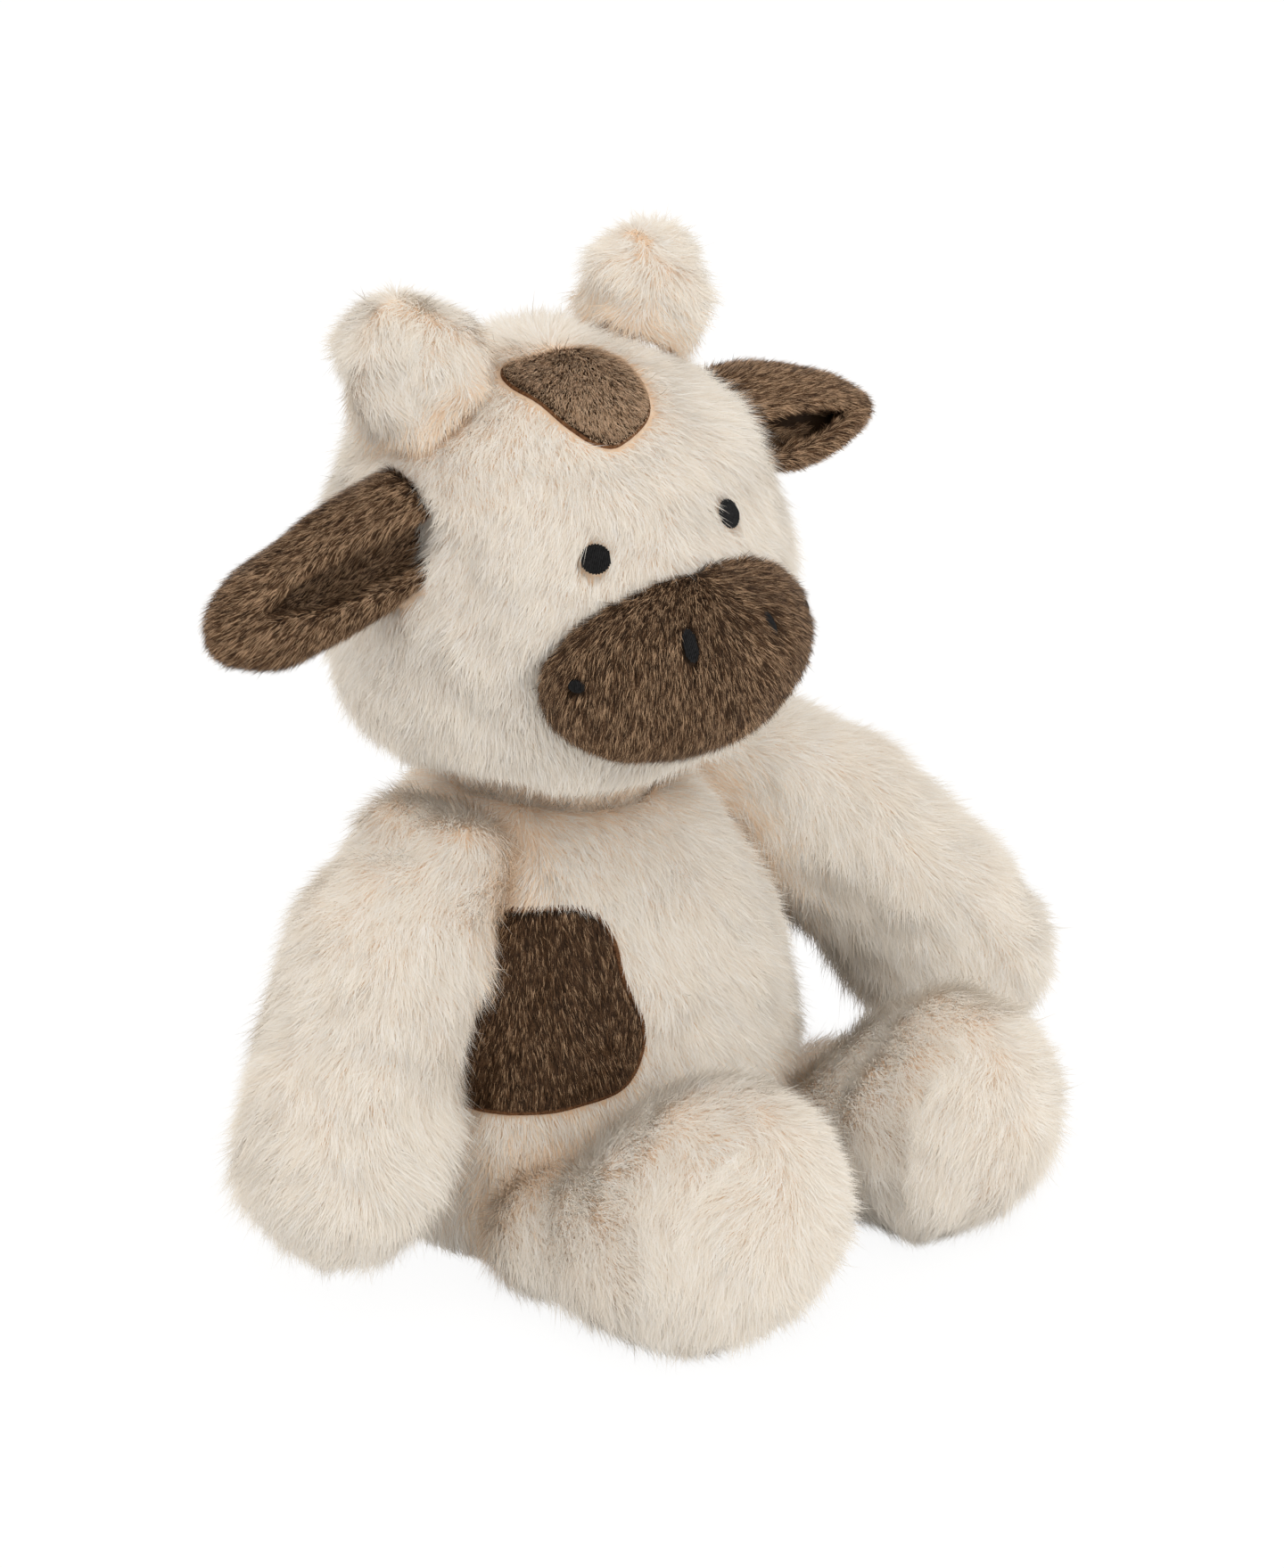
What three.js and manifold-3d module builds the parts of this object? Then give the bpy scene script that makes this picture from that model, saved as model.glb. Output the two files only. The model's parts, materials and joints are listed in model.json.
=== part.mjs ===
// Seated plush cow: a floppy stuffed toy of long-pile cream fabric with short brown pile on its
// ears, muzzle and patches. Millimetres, +Z up, the toy faces -Y, its right side is -X.
// The origin is at the middle of the overall box, on the surface that the toy sits on.

import * as THREE from "three";
import { mergeVertices } from "three/addons/utils/BufferGeometryUtils.js";
import Module from "manifold-3d";

const wasm = await Module();
wasm.setup();

// Fabric, gaps and cuts
const seatGap = 0.3;
const turningGap = 0.6;
const skinWall = 3;
const limbWall = 2.6;
const cutOverrun = 60;
const cutReach = 240;
const cutSides = 8;
const boreSides = 12;
const mergeTolerance = 0.0001;
const patchThickness = 2.4;
const stitchWidth = 2.2;
const stitchHeight = 1.6;
const embroideryHeight = 1.3;
const outlinePoints = 24;
const ovalSides = 16;

// Torso: a pear standing on its flat seat
const torsoRadius = 68;
const torsoHeight = 128;
const torsoShares = [
  [0.94, 0], [1, 0.035], [1.02, 0.14], [1.01, 0.3], [0.985, 0.45],
  [0.93, 0.58], [0.86, 0.68], [0.74, 0.8], [0.58, 0.9], [0.36, 0.965], [0, 1],
];
const torsoSides = 24;
const torsoRings = 12;

// Neck: a gathered ball of fabric with a flat foot, between a socket in the torso and one in the head
const neckSink = 8;
const neckHeight = torsoHeight - neckSink;
const neckRadius = 27.7;
const neckFootDrop = 11;
const neckOpeningRadius = 10;
const neckSides = 24;
const neckRings = 12;
const neckWallSides = 12;
const headNod = 12;
const nodClearance = 1.5;

// Head, in its own frame: its middle is above the neck's
const headAboveNeck = 69;
const headHeight = neckHeight + headAboveNeck;
const headRadius = 65;
const headDepthShare = 0.97;
const headRise = 65;
const headDrop = 61;
const headTurn = -12;
const headTilt = -3;
const headShares = [
  [0, -1], [0.46, -0.975], [0.78, -0.82], [0.955, -0.54], [1.01, -0.16],
  [0.965, 0.24], [0.83, 0.58], [0.57, 0.83], [0.3, 0.96], [0, 1],
];
const headSides = 24;
const headRings = 12;

// Muzzle: a wide dome on the lower face
const muzzleHalf = [43, 30, 28];
const muzzleForward = 54;
const muzzleDrop = 10;
const muzzleSides = 20;
const muzzleRings = 10;

// Embroidery, placed sideways and up from the middle of the head or muzzle
const eyeRadius = 4.8;
const eyeSideways = 22.8;
const eyeRise = 24.5;
const nostrilHalfWidth = 2.8;
const nostrilHalfHeight = 5.4;
const nostrilSideways = 14;
const nostrilRise = 1.4;
const mouthHalfWidth = 3;
const mouthHalfHeight = 2.2;
const mouthSwing = 72;
const mouthRise = -5;

// Forehead patch: a rounded triangle laid on the brow, one corner down
const browSize = 20;
const browLean = 66;
const browSwing = -2;
const browShares = [
  [-0.76, 1.1], [-0.32, 1.06], [0.36, 0.96], [0.74, 0.62], [0.82, 0.08], [0.7, -0.42],
  [0.42, -0.78], [-0.16, -1.02], [-0.44, -0.94], [-0.6, -0.7], [-0.82, 0.05], [-0.92, 0.7],
];

// Horns: soft round knobs
const hornRadius = 19;
const hornLength = 22;
const hornPlace = [38, 6, 65];
const hornSides = 16;
const hornRings = 9;

// Ears: folded leaves that droop sideways, each open along its lower front edge
const earRoot = [59, -11, 30];
const earTip = [113, -4, 8];
const earRootRadius = 11.5;
const earHalfWidth = 15;
const earHalfThickness = 8;
const earWidthShares = [0.75, 0.9, 1, 1, 0.95, 0.75];
const earThickShares = [1, 1, 0.95, 0.9, 0.75, 0.6];
const earPocketWidthShare = 0.5;
const earPocketThickShare = 0.42;
const earPocketShares = [0.2, 0.8, 1, 1, 0.8, 0.3];
const earAcross = [0, 1, 1.25];
const earPocketFrontShare = 0.8;
const earPocketSides = 10;
const earPocketRings = 8;
const earBluntness = 3.4;
const earSides = 12;
const earRings = 9;
const earRootSides = 12;

// Arms: shoulder ball, long plump tube, heavy paw
const shoulderDrop = 16;
const shoulder = [55, -3, torsoHeight - shoulderDrop];
const shoulderRadius = 23;
const shoulderSides = 16;
const armHalfWidth = 29;
const armSwellShares = [0.86, 0.9, 0.92, 0.96, 1.02, 1];
const rightPaw = [-99, -11, 44];
const leftPaw = [105, -60, 49];
const elbowOut = 6;
const elbowRise = 5;
const armSides = 12;
const armRings = 9;
const armBluntness = 5;
const armLifts = [0, 30, 60];
const limbOpeningRadius = 7;
const limbOpeningShare = 1.4;
const rootDepthShare = 0.72;

// Legs: thin at the hip, with a big round upright foot
const hip = [50, -53, 17.5];
const hipHalfWidth = 25;
const hipRadius = 16.5;
const hipSides = 16;
const hipRings = 8;
const footRadius = 34.5;
const rightFoot = [-43, -101, 32.5];
const leftFoot = [43, -110, 33.3];
const legWidthShares = [0.76, 0.8, 0.88, 1, 1.03, 1];
const legThickShares = [0.5, 0.54, 0.74, 0.98, 1.03, 1];
const shinPlaceShare = 0.25;
const shinForwardShare = 0.3;
const shinRise = 2;
const legBluntness = 3;
const legSides = 14;
const legRings = 10;
const footDepthShare = 0.88;
const legSwings = [45, 30, 15, -10];
const swingClearance = 2;
const swingFineShare = 0.7;
const hipWallExtra = 5;

// Side patches: outlines as shares of the patch size, sideways and up
const rightPatchSize = 28;
const rightPatchTurn = -48;
const rightPatchRise = 74;
const rightPatchShares = [
  [-0.9, 0.92], [-0.5, 0.95], [0.2, 0.97], [0.47, 0.83], [0.61, 0.57], [0.7, 0.24], [0.88, -0.14],
  [0.9, -0.46], [0.7, -0.81], [0.16, -0.94], [-0.55, -1], [-1, -0.95], [-1.18, -0.4], [-1.15, 0.4],
];
const leftPatchSize = 25;
const leftPatchTurn = 66;
const leftPatchRise = 42;
const leftPatchShares = [
  [-0.95, 0.35], [-0.6, 0.85], [0.1, 0.95], [0.8, 0.7], [1.05, 0.1], [0.8, -0.6], [0.1, -0.9], [-0.6, -0.75],
];

// Bean bag in the seat
const beanHalf = [44, 40, 13];
const beanRise = skinWall + seatGap + beanHalf[2];
const beanSides = 16;
const beanRings = 8;

// Tail: a thin cord of pile fabric with a brown tuft
const tailRoot = [0, 66.5, 40];
const tailKnee = [5, 79, 28];
const tailEnd = [14, 88.5, 13.2];
const tailRadius = 4.5;
const tailShares = [1, 1, 1];
const tailBluntness = 12;
const tailRootRadius = 6;
const tailRootSides = 12;
const tuftHalf = [9, 15, 8.5];
const tuftPlace = [22, 99, 10];
const tuftTurn = -36;
const tuftSides = 12;
const tuftRings = 8;
const tailSides = 10;
const tailRings = 8;

// Stuffing is drawn with fewer faces than the skins
const coarse = 0.5;

// Colours
const cream = { color: 0xece3d6, roughness: 0.95 };
const brown = { color: 0x5d4838, roughness: 0.95 };
const rust = { color: 0x8a5a36, roughness: 0.85 };
const black = { color: 0x15130f, roughness: 0.7 };
const white = { color: 0xf4f3ee, roughness: 1 };
const sand = { color: 0xcfc4ae, roughness: 0.9 };

// A geometry as a solid for cutting and joining
function solid(geometry) {
  const bare = geometry.clone();
  for (const name of Object.keys(bare.attributes)) {
    if (name !== "position") bare.deleteAttribute(name);
  }
  const merged = mergeVertices(bare, mergeTolerance);
  const vertProperties = Float32Array.from(merged.attributes.position.array);
  const triVerts = Uint32Array.from(merged.index.array);
  return new wasm.Manifold(new wasm.Mesh({ numProp: 3, vertProperties, triVerts }));
}

// A solid back as a geometry
function geometryOf(body) {
  const mesh = body.getMesh();
  const geometry = new THREE.BufferGeometry();
  geometry.setAttribute("position", new THREE.BufferAttribute(Float32Array.from(mesh.vertProperties), 3));
  geometry.setIndex(new THREE.BufferAttribute(Uint32Array.from(mesh.triVerts), 1));
  geometry.computeVertexNormals();
  return geometry;
}

// A solid of revolution about +Z through rows of radius and height
function turned(rows, sides) {
  const points = rows.map(([radius, height]) => new THREE.Vector2(radius, height));
  return solid(new THREE.LatheGeometry(points, sides).rotateX(Math.PI / 2));
}

// Rows of a smooth profile through shares of a radius and a height, grown outwards by an amount
function smoothRows(shares, radius, heightOf, count, grow) {
  const knots = shares.map(([r, h]) => new THREE.Vector2(r * radius, heightOf(h)));
  const curve = new THREE.SplineCurve(knots);
  const rows = [];
  for (let i = 0; i <= count; i += 1) {
    const point = curve.getPoint(i / count);
    const along = curve.getTangent(i / count);
    const onAxis = i === count || (i === 0 && shares[0][0] === 0);
    const outX = onAxis ? 0 : along.y;
    const outY = onAxis ? Math.sign(point.y - heightOf(0.5)) : -along.x;
    rows.push([onAxis ? 0 : Math.max(point.x + outX * grow, 0), point.y + outY * grow]);
  }
  return rows;
}

function ball(centre, radius, sides) {
  return solid(new THREE.SphereGeometry(radius, sides, Math.round(sides / 2))).translate(centre);
}

function egg(half, sides, rings, grow = 0) {
  const scaled = new THREE.SphereGeometry(1, sides, rings).rotateX(Math.PI / 2);
  return solid(scaled.scale(half[0] + grow, half[1] + grow, half[2] + grow));
}

function rod(radius, from, to, sides) {
  const start = new THREE.Vector3(...from);
  const end = new THREE.Vector3(...to);
  const length = start.distanceTo(end);
  const bar = new THREE.CylinderGeometry(radius, radius, length, sides);
  const turn = new THREE.Quaternion().setFromUnitVectors(
    new THREE.Vector3(0, 1, 0),
    end.clone().sub(start).normalize(),
  );
  bar.applyQuaternion(turn);
  const middle = start.add(end).multiplyScalar(0.5);
  return solid(bar.translate(middle.x, middle.y, middle.z));
}

// Value of a row of shares at a place from 0 to 1, drawn as a smooth line
function shareAt(shares, place) {
  const knots = shares.map((share, i) => new THREE.Vector2(i, share));
  return new THREE.SplineCurve(knots).getPoint(place).y;
}

// A closed plump tube along a smooth route, with round ends. The halves give its width and thickness,
// the shares how both swell on the way, and bluntness how square its ends are.
const roundBluntness = 4;

function plump(route, halves, widthShares, sides, rings, options = {}) {
  const { grow = 0, bluntness = roundBluntness, sideways = [1, 0, 0], thickShares = widthShares } = options;
  const curve = new THREE.CatmullRomCurve3(route.map((p) => new THREE.Vector3(...p)));
  const positions = [];
  const index = [];
  for (let i = 0; i <= rings; i += 1) {
    const place = (1 - Math.cos((Math.PI * i) / rings)) / 2;
    const centre = curve.getPointAt(place);
    const along = curve.getTangentAt(place);
    centre.addScaledVector(along, grow * (2 * place - 1));
    const side = new THREE.Vector3(...sideways);
    side.addScaledVector(along, -side.dot(along)).normalize();
    const up = new THREE.Vector3().crossVectors(along, side);
    const dome = Math.sqrt(Math.max(1 - Math.abs(2 * place - 1) ** bluntness, 0));
    const wide = (halves[0] * shareAt(widthShares, place) + grow) * dome;
    const thick = (halves[1] * shareAt(thickShares, place) + grow) * dome;
    const pole = i === 0 || i === rings;
    for (let k = 0; k < (pole ? 1 : sides); k += 1) {
      const angle = (2 * Math.PI * k) / sides;
      const point = centre.clone();
      if (!pole) {
        point.addScaledVector(side, wide * Math.cos(angle));
        point.addScaledVector(up, thick * Math.sin(angle));
      }
      positions.push(point.x, point.y, point.z);
    }
  }
  const last = positions.length / 3 - 1;
  const at = (ring, k) => 1 + (ring - 1) * sides + (k % sides);
  for (let k = 0; k < sides; k += 1) {
    index.push(0, at(1, k + 1), at(1, k));
    index.push(last, at(rings - 1, k), at(rings - 1, k + 1));
    for (let ring = 1; ring < rings - 1; ring += 1) {
      index.push(at(ring, k), at(ring, k + 1), at(ring + 1, k + 1));
      index.push(at(ring, k), at(ring + 1, k + 1), at(ring + 1, k));
    }
  }
  const geometry = new THREE.BufferGeometry();
  geometry.setAttribute("position", new THREE.Float32BufferAttribute(positions, 3));
  geometry.setIndex(index);
  return solid(geometry);
}

// A prism of a smooth closed outline, pointing along -Y, its outline drawn sideways and up
function outlinePrism(shares, size, depth, widen = 0) {
  const knots = shares.map(([x, y]) => new THREE.Vector2(x * size, y * size));
  const loop = new THREE.CatmullRomCurve3(
    knots.map((p) => new THREE.Vector3(p.x, p.y, 0)),
    true,
  );
  const count = outlinePoints;
  const points = [];
  for (let i = 0; i < count; i += 1) {
    const point = loop.getPointAt(i / count);
    const along = loop.getTangentAt(i / count);
    points.push(new THREE.Vector2(point.x - along.y * widen, point.y + along.x * widen));
  }
  const shape = new THREE.Shape(points);
  const prism = new THREE.ExtrudeGeometry(shape, { depth, bevelEnabled: false });
  return solid(prism.rotateX(Math.PI / 2));
}

const mirrored = (place, side) => [place[0] * side, place[1], place[2]];
const everythingUnder = (height) => rod(cutReach, [0, 0, -cutOverrun], [0, 0, height], cutSides);
const below = everythingUnder(0);

// Torso forms
function torsoForm(grow, fine = 1) {
  const rings = Math.round(torsoRings * fine);
  const rows = smoothRows(torsoShares, torsoRadius, (h) => h * torsoHeight, rings, grow);
  rows.unshift([0, rows[0][1]]);
  return turned(rows, Math.round(torsoSides * fine));
}

const neckBall = (grow) => egg([neckRadius, neckRadius, neckRadius], neckSides, neckRings, grow)
  .translate([0, 0, neckHeight]);
const neckWall = (grow) => ball([0, 0, neckHeight], neckRadius + turningGap + grow, neckWallSides);
const neckFoot = (grow) => everythingUnder(neckHeight - neckFootDrop - grow);
const neckBore = () => rod(
  neckOpeningRadius,
  [0, 0, neckHeight - neckRadius * 2],
  [0, 0, headHeight],
  boreSides,
);

const sides = [-1, 1];
const hipRoot = (side, grow) => egg([hipRadius, hipRadius, hipHalfWidth], hipSides, hipRings, grow)
  .rotate([0, 90, 0]).translate(mirrored(hip, side));
const shoulderRoot = (side, grow) => ball(mirrored(shoulder, side), shoulderRadius + grow, shoulderSides);
const tailRootBall = (grow) => ball(tailRoot, tailRootRadius + grow, tailRootSides);
const jointRoots = (grow, hipExtra = 0) => [
  ...sides.map((side) => hipRoot(side, grow + hipExtra)),
  ...sides.map((side) => shoulderRoot(side, grow)),
  tailRootBall(grow),
];

// A body turned about a sideways axis through a place
function swung(body, place, angle) {
  const back = place.map((value) => -value);
  return body.translate(back).rotate([angle, 0, 0]).translate(place);
}

function withoutAll(body, others) {
  return others.reduce((left, other) => left.subtract(other), body);
}

// The skin is open through its gathered neck
function torsoSkin() {
  const neckSocket = neckBall(turningGap).subtract(neckFoot(turningGap));
  const neckSocketWall = neckWall(skinWall).subtract(neckFoot(turningGap + skinWall));
  const sockets = [neckSocket, ...jointRoots(turningGap)];
  const walls = [neckSocketWall, ...jointRoots(turningGap + skinWall, hipWallExtra)];
  const outside = withoutAll(torsoForm(0), sockets).subtract(below);
  const cleared = sides.reduce((left, side) => withoutAll(left, legSweep(side)), outside);
  const inside = withoutAll(torsoForm(-skinWall, coarse), walls).subtract(everythingUnder(skinWall));
  return cleared.subtract(inside).subtract(neckBore());
}

function beanBag(grow) {
  return egg(beanHalf, beanSides, beanRings, grow).translate([0, 0, beanRise]);
}

function torsoStuffing() {
  const inset = skinWall + seatGap;
  const neckSocketWall = neckWall(inset).subtract(neckFoot(turningGap + inset));
  const walls = [neckSocketWall, ...jointRoots(inset + turningGap, hipWallExtra)];
  const form = withoutAll(torsoForm(-inset, coarse), walls).subtract(everythingUnder(inset));
  return form.subtract(beanBag(seatGap));
}

const neckGather = () => neckBall(0).subtract(neckFoot(0)).subtract(neckBore());

// Head forms, first in the head's own frame
function headForm(grow, fine = 1) {
  const heightOf = (h) => (h > 0 ? h * headRise : h * headDrop);
  const rows = smoothRows(headShares, headRadius, heightOf, Math.round(headRings * fine), 0);
  const grown = rows.map(([radius, height]) => {
    const reach = Math.hypot(radius, height) || 1;
    return [radius * (1 + grow / reach), height * (1 + grow / reach)];
  });
  return turned(grown, Math.round(headSides * fine)).scale([1, headDepthShare, 1]);
}

const placeHead = (body) => body
  .rotate([0, headTilt, 0]).rotate([0, 0, headTurn]).translate([0, 0, headHeight]);
const ears = sides.map((side) => mirrored(earRoot, side));
const earBalls = (grow) => ears.map((place) => ball(place, earRootRadius + grow, earRootSides));

function headSkin() {
  const outside = placeHead(withoutAll(headForm(0), earBalls(turningGap))).subtract(neckBall(turningGap));
  const inside = placeHead(withoutAll(headForm(-skinWall, coarse), earBalls(turningGap + skinWall)))
    .subtract(neckWall(skinWall));
  return outside.subtract(inside).subtract(neckBore());
}

function headStuffing() {
  const inset = skinWall + seatGap;
  return placeHead(withoutAll(headForm(-inset, coarse), earBalls(inset + turningGap)))
    .subtract(neckWall(inset));
}

function muzzleForm(grow) {
  return egg(muzzleHalf, muzzleSides, muzzleRings, grow).translate([0, -muzzleForward, -muzzleDrop]);
}

// A thin piece on a form: what lies between two grown copies of the form, inside a prism
function laidOn(form, low, high, prism) {
  return form(high).subtract(form(low)).intersect(prism);
}

// An oval prism seen from the front of the head
function ovalPrism(halfWidth, halfHeight, sideways, rise) {
  const bar = new THREE.CylinderGeometry(1, 1, headRadius * 2, ovalSides).scale(halfWidth, 1, halfHeight);
  return solid(bar.translate(sideways, -headRadius, rise));
}

function eye(side) {
  const prism = ovalPrism(eyeRadius, eyeRadius, eyeSideways * side, eyeRise);
  return laidOn(headForm, seatGap, seatGap + embroideryHeight, prism);
}

function nostril(side) {
  const prism = ovalPrism(nostrilHalfWidth, nostrilHalfHeight, nostrilSideways * side, nostrilRise)
    .translate([0, -muzzleForward, 0]);
  return laidOn(muzzleForm, seatGap, seatGap + embroideryHeight, prism);
}

function mouthCorner(side) {
  const prism = ovalPrism(mouthHalfWidth, mouthHalfHeight, 0, mouthRise)
    .rotate([0, 0, mouthSwing * side]).translate([0, -muzzleForward, 0]);
  return laidOn(muzzleForm, seatGap, seatGap + embroideryHeight, prism).subtract(headForm(seatGap));
}

// The brow patch's prism leans up and swings aside about the middle of the head
const browPrism = (widen) => outlinePrism(browShares, browSize, headRadius * 2, widen)
  .rotate([-browLean, 0, 0]).rotate([0, 0, browSwing]);

function browPatch() {
  return laidOn(headForm, seatGap, seatGap + patchThickness, browPrism(0));
}

function browStitching() {
  const ring = browPrism(stitchWidth + seatGap).subtract(browPrism(seatGap));
  return laidOn(headForm, seatGap, seatGap + stitchHeight, ring);
}

function horn(side) {
  const outward = new THREE.Vector3(...mirrored(hornPlace, side));
  const turn = new THREE.Quaternion().setFromUnitVectors(
    new THREE.Vector3(0, 0, 1),
    outward.clone().normalize(),
  );
  const knob = new THREE.SphereGeometry(1, hornSides, hornRings).rotateX(Math.PI / 2);
  knob.scale(hornRadius, hornRadius, hornLength).applyQuaternion(turn);
  return solid(knob.translate(outward.x, outward.y, outward.z)).subtract(headForm(seatGap));
}

// Each ear swells from its root ball and has a pocket along its lower front edge
function ear(side) {
  const root = mirrored(earRoot, side);
  const tip = mirrored(earTip, side);
  const middle = root.map((value, i) => (value + tip[i]) / 2);
  middle[2] += earHalfThickness / 2;
  const halves = [earHalfWidth, earHalfThickness];
  const leaf = plump([root, middle, tip], halves, earWidthShares, earSides, earRings, {
    bluntness: earBluntness,
    sideways: earAcross,
    thickShares: earThickShares,
  });
  const inward = new THREE.Vector3(...earAcross).normalize();
  const lower = inward.clone().multiplyScalar(-earHalfWidth / 2);
  const front = new THREE.Vector3(0, -inward.z, inward.y);
  front.multiplyScalar(earHalfThickness * earPocketFrontShare);
  const shift = lower.add(front).toArray();
  const pocketRoute = [root, middle, tip].map((place) => place.map((value, i) => value + shift[i]));
  const pocketHalves = [earHalfWidth * earPocketWidthShare, earHalfThickness * earPocketThickShare];
  const pocket = plump(pocketRoute, pocketHalves, earPocketShares, earPocketSides, earPocketRings, {
    sideways: earAcross,
  });
  const rootBall = ball(root, earRootRadius, earRootSides);
  return leaf.subtract(pocket).add(rootBall).subtract(headForm(seatGap).subtract(rootBall));
}

// A place beyond another one, at a distance, on the line that comes from a third
function beyond(from, place, distance) {
  const ahead = new THREE.Vector3(...place).sub(new THREE.Vector3(...from)).setLength(distance);
  return place.map((value, i) => value + ahead.getComponent(i));
}

// Limb forms start in the joint's root and swell to the paw or foot
function armForm(side, grow, fine = 1) {
  const root = mirrored(shoulder, side);
  const paw = side < 0 ? rightPaw : leftPaw;
  const elbow = root.map((value, i) => (value + paw[i]) / 2);
  elbow[0] += elbowOut * side;
  elbow[2] += elbowRise;
  const inner = beyond(elbow, root, shoulderRadius * rootDepthShare);
  return plump(
    [inner, root, elbow, paw, beyond(elbow, paw, armHalfWidth)],
    [armHalfWidth, armHalfWidth],
    armSwellShares,
    Math.round(armSides * fine),
    Math.round(armRings * fine),
    { grow, bluntness: armBluntness, sideways: [0, 1, 0] },
  );
}

function legForm(side, grow, fine = 1) {
  const root = mirrored(hip, side);
  const foot = side < 0 ? rightFoot : leftFoot;
  const towards = (i, share) => root[i] + (foot[i] - root[i]) * share;
  const shin = [towards(0, shinPlaceShare), towards(1, shinForwardShare), root[2] + shinRise];
  const front = [foot[0], foot[1] - footRadius * footDepthShare, foot[2]];
  const back = [root[0], root[1] + hipRadius * rootDepthShare, root[2]];
  return plump(
    [back, root, shin, foot, front],
    [footRadius, footRadius],
    legWidthShares,
    Math.round(legSides * fine),
    Math.round(legRings * fine),
    { grow, bluntness: legBluntness, thickShares: legThickShares },
  );
}

// The lowest that the head's underside comes, at each distance from the neck, as it nods
function headSweep(clearance) {
  const lowering = Math.sin((headNod * Math.PI) / 180);
  const underside = headShares.filter(([, h]) => h < 0);
  const rows = underside.map(([r, h]) => [
    r * headRadius,
    headHeight + h * headDrop - r * headRadius * lowering - clearance,
  ]);
  rows.push([0, headHeight]);
  return turned(rows, headSides);
}

// The head's sweep as a lifted arm meets it, turned back about the shoulder to the arm at rest
function headSweeps(side, clearance) {
  const root = mirrored(shoulder, side);
  const back = root.map((value) => -value);
  const sweep = headSweep(clearance).translate(back);
  return armLifts.map((lift) => sweep.rotate([0, lift * side, 0]).translate(root));
}

// A limb keeps its root, which turns in the torso, and gives way to the torso everywhere else
function limbSolid(form, root, clearance, fine = 1) {
  const spare = fine < 1 ? swingClearance : 0;
  return form.add(root).subtract(torsoForm(clearance + spare, fine).subtract(root));
}

function armSolid(side, grow, fine = 1) {
  const clearance = patchThickness + seatGap * 2 - grow;
  const arm = limbSolid(armForm(side, grow, fine), shoulderRoot(side, grow), clearance, fine);
  return withoutAll(arm, headSweeps(side, nodClearance - grow));
}

function legSolid(side, grow, fine = 1) {
  return limbSolid(legForm(side, grow, fine), hipRoot(side, grow), seatGap - grow, fine).subtract(below);
}

// Where a leg swings through the torso's lower edge and against its belly
function legSweep(side) {
  const leg = legForm(side, swingClearance, swingFineShare);
  return legSwings.map((angle) => swung(leg, mirrored(hip, side), angle));
}

// A limb's skin is open through its root into the torso, and its stuffing fills it
function limbParts(solidOf, side, root, openingTo) {
  const hollow = solidOf(side, -limbWall, coarse);
  const filling = solidOf(side, -limbWall - seatGap, coarse);
  const opening = rod(limbOpeningRadius, root, openingTo, cutSides);
  return {
    skin: solidOf(side, 0).subtract(hollow.subtract(everythingUnder(limbWall))).subtract(opening),
    filling: filling.subtract(everythingUnder(limbWall + seatGap)),
  };
}

function armParts(side) {
  const root = mirrored(shoulder, side);
  const opening = shoulderRadius * limbOpeningShare * side;
  return limbParts(armSolid, side, root, [root[0] - opening, root[1], root[2]]);
}

function legParts(side) {
  const root = mirrored(hip, side);
  return limbParts(legSolid, side, root, [root[0], root[1] + hipRadius * limbOpeningShare, root[2]]);
}

// Side patches and their satin borders, laid on the torso
const sidePrism = (shares, size, turn, rise, widen) => outlinePrism(shares, size, torsoRadius * 2, widen)
  .translate([0, 0, rise]).rotate([0, 0, turn]);

// A piece laid on the torso ends where a limb starts
function onTorso(body) {
  const open = withoutAll(body, jointRoots(turningGap));
  return sides.reduce((left, side) => withoutAll(left, legSweep(side)), open);
}

function sidePatch(shares, size, turn, rise) {
  const prism = sidePrism(shares, size, turn, rise, 0);
  return onTorso(laidOn(torsoForm, seatGap, seatGap + patchThickness, prism));
}

function sideStitching(shares, size, turn, rise) {
  const ring = sidePrism(shares, size, turn, rise, stitchWidth + seatGap)
    .subtract(sidePrism(shares, size, turn, rise, seatGap));
  return onTorso(laidOn(torsoForm, seatGap, seatGap + stitchHeight, ring));
}

// Tail
function tailCordForm(grow = 0) {
  return plump([tailRoot, tailKnee, tailEnd], [tailRadius, tailRadius], tailShares, tailSides, tailRings, {
    grow,
    bluntness: tailBluntness,
  });
}

function tailCord() {
  return limbSolid(tailCordForm(), tailRootBall(0), seatGap);
}

function tailTuft() {
  return egg(tuftHalf, tuftSides, tuftRings).rotate([0, 0, tuftTurn]).translate(tuftPlace)
    .subtract(tailCordForm(seatGap));
}

const toy = new THREE.Group();

function addPiece(name, body, look) {
  const material = new THREE.MeshStandardMaterial({ ...look, metalness: 0 });
  const mesh = new THREE.Mesh(geometryOf(body), material);
  mesh.name = name;
  toy.add(mesh);
  return mesh;
}

const nameOfSide = (side) => (side < 0 ? "right" : "left");

addPiece("torso_skin", torsoSkin(), cream);
addPiece("torso_stuffing", torsoStuffing(), white);
addPiece("seat_bean_bag", beanBag(0), sand);
addPiece("neck_gather", neckGather(), cream);
addPiece("head_skin", headSkin(), cream);
addPiece("head_stuffing", headStuffing(), white);
addPiece("muzzle", placeHead(muzzleForm(0).subtract(headForm(seatGap))), brown);
addPiece("brow_patch", placeHead(browPatch()), brown);
addPiece("brow_patch_stitching", placeHead(browStitching()), rust);

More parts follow.
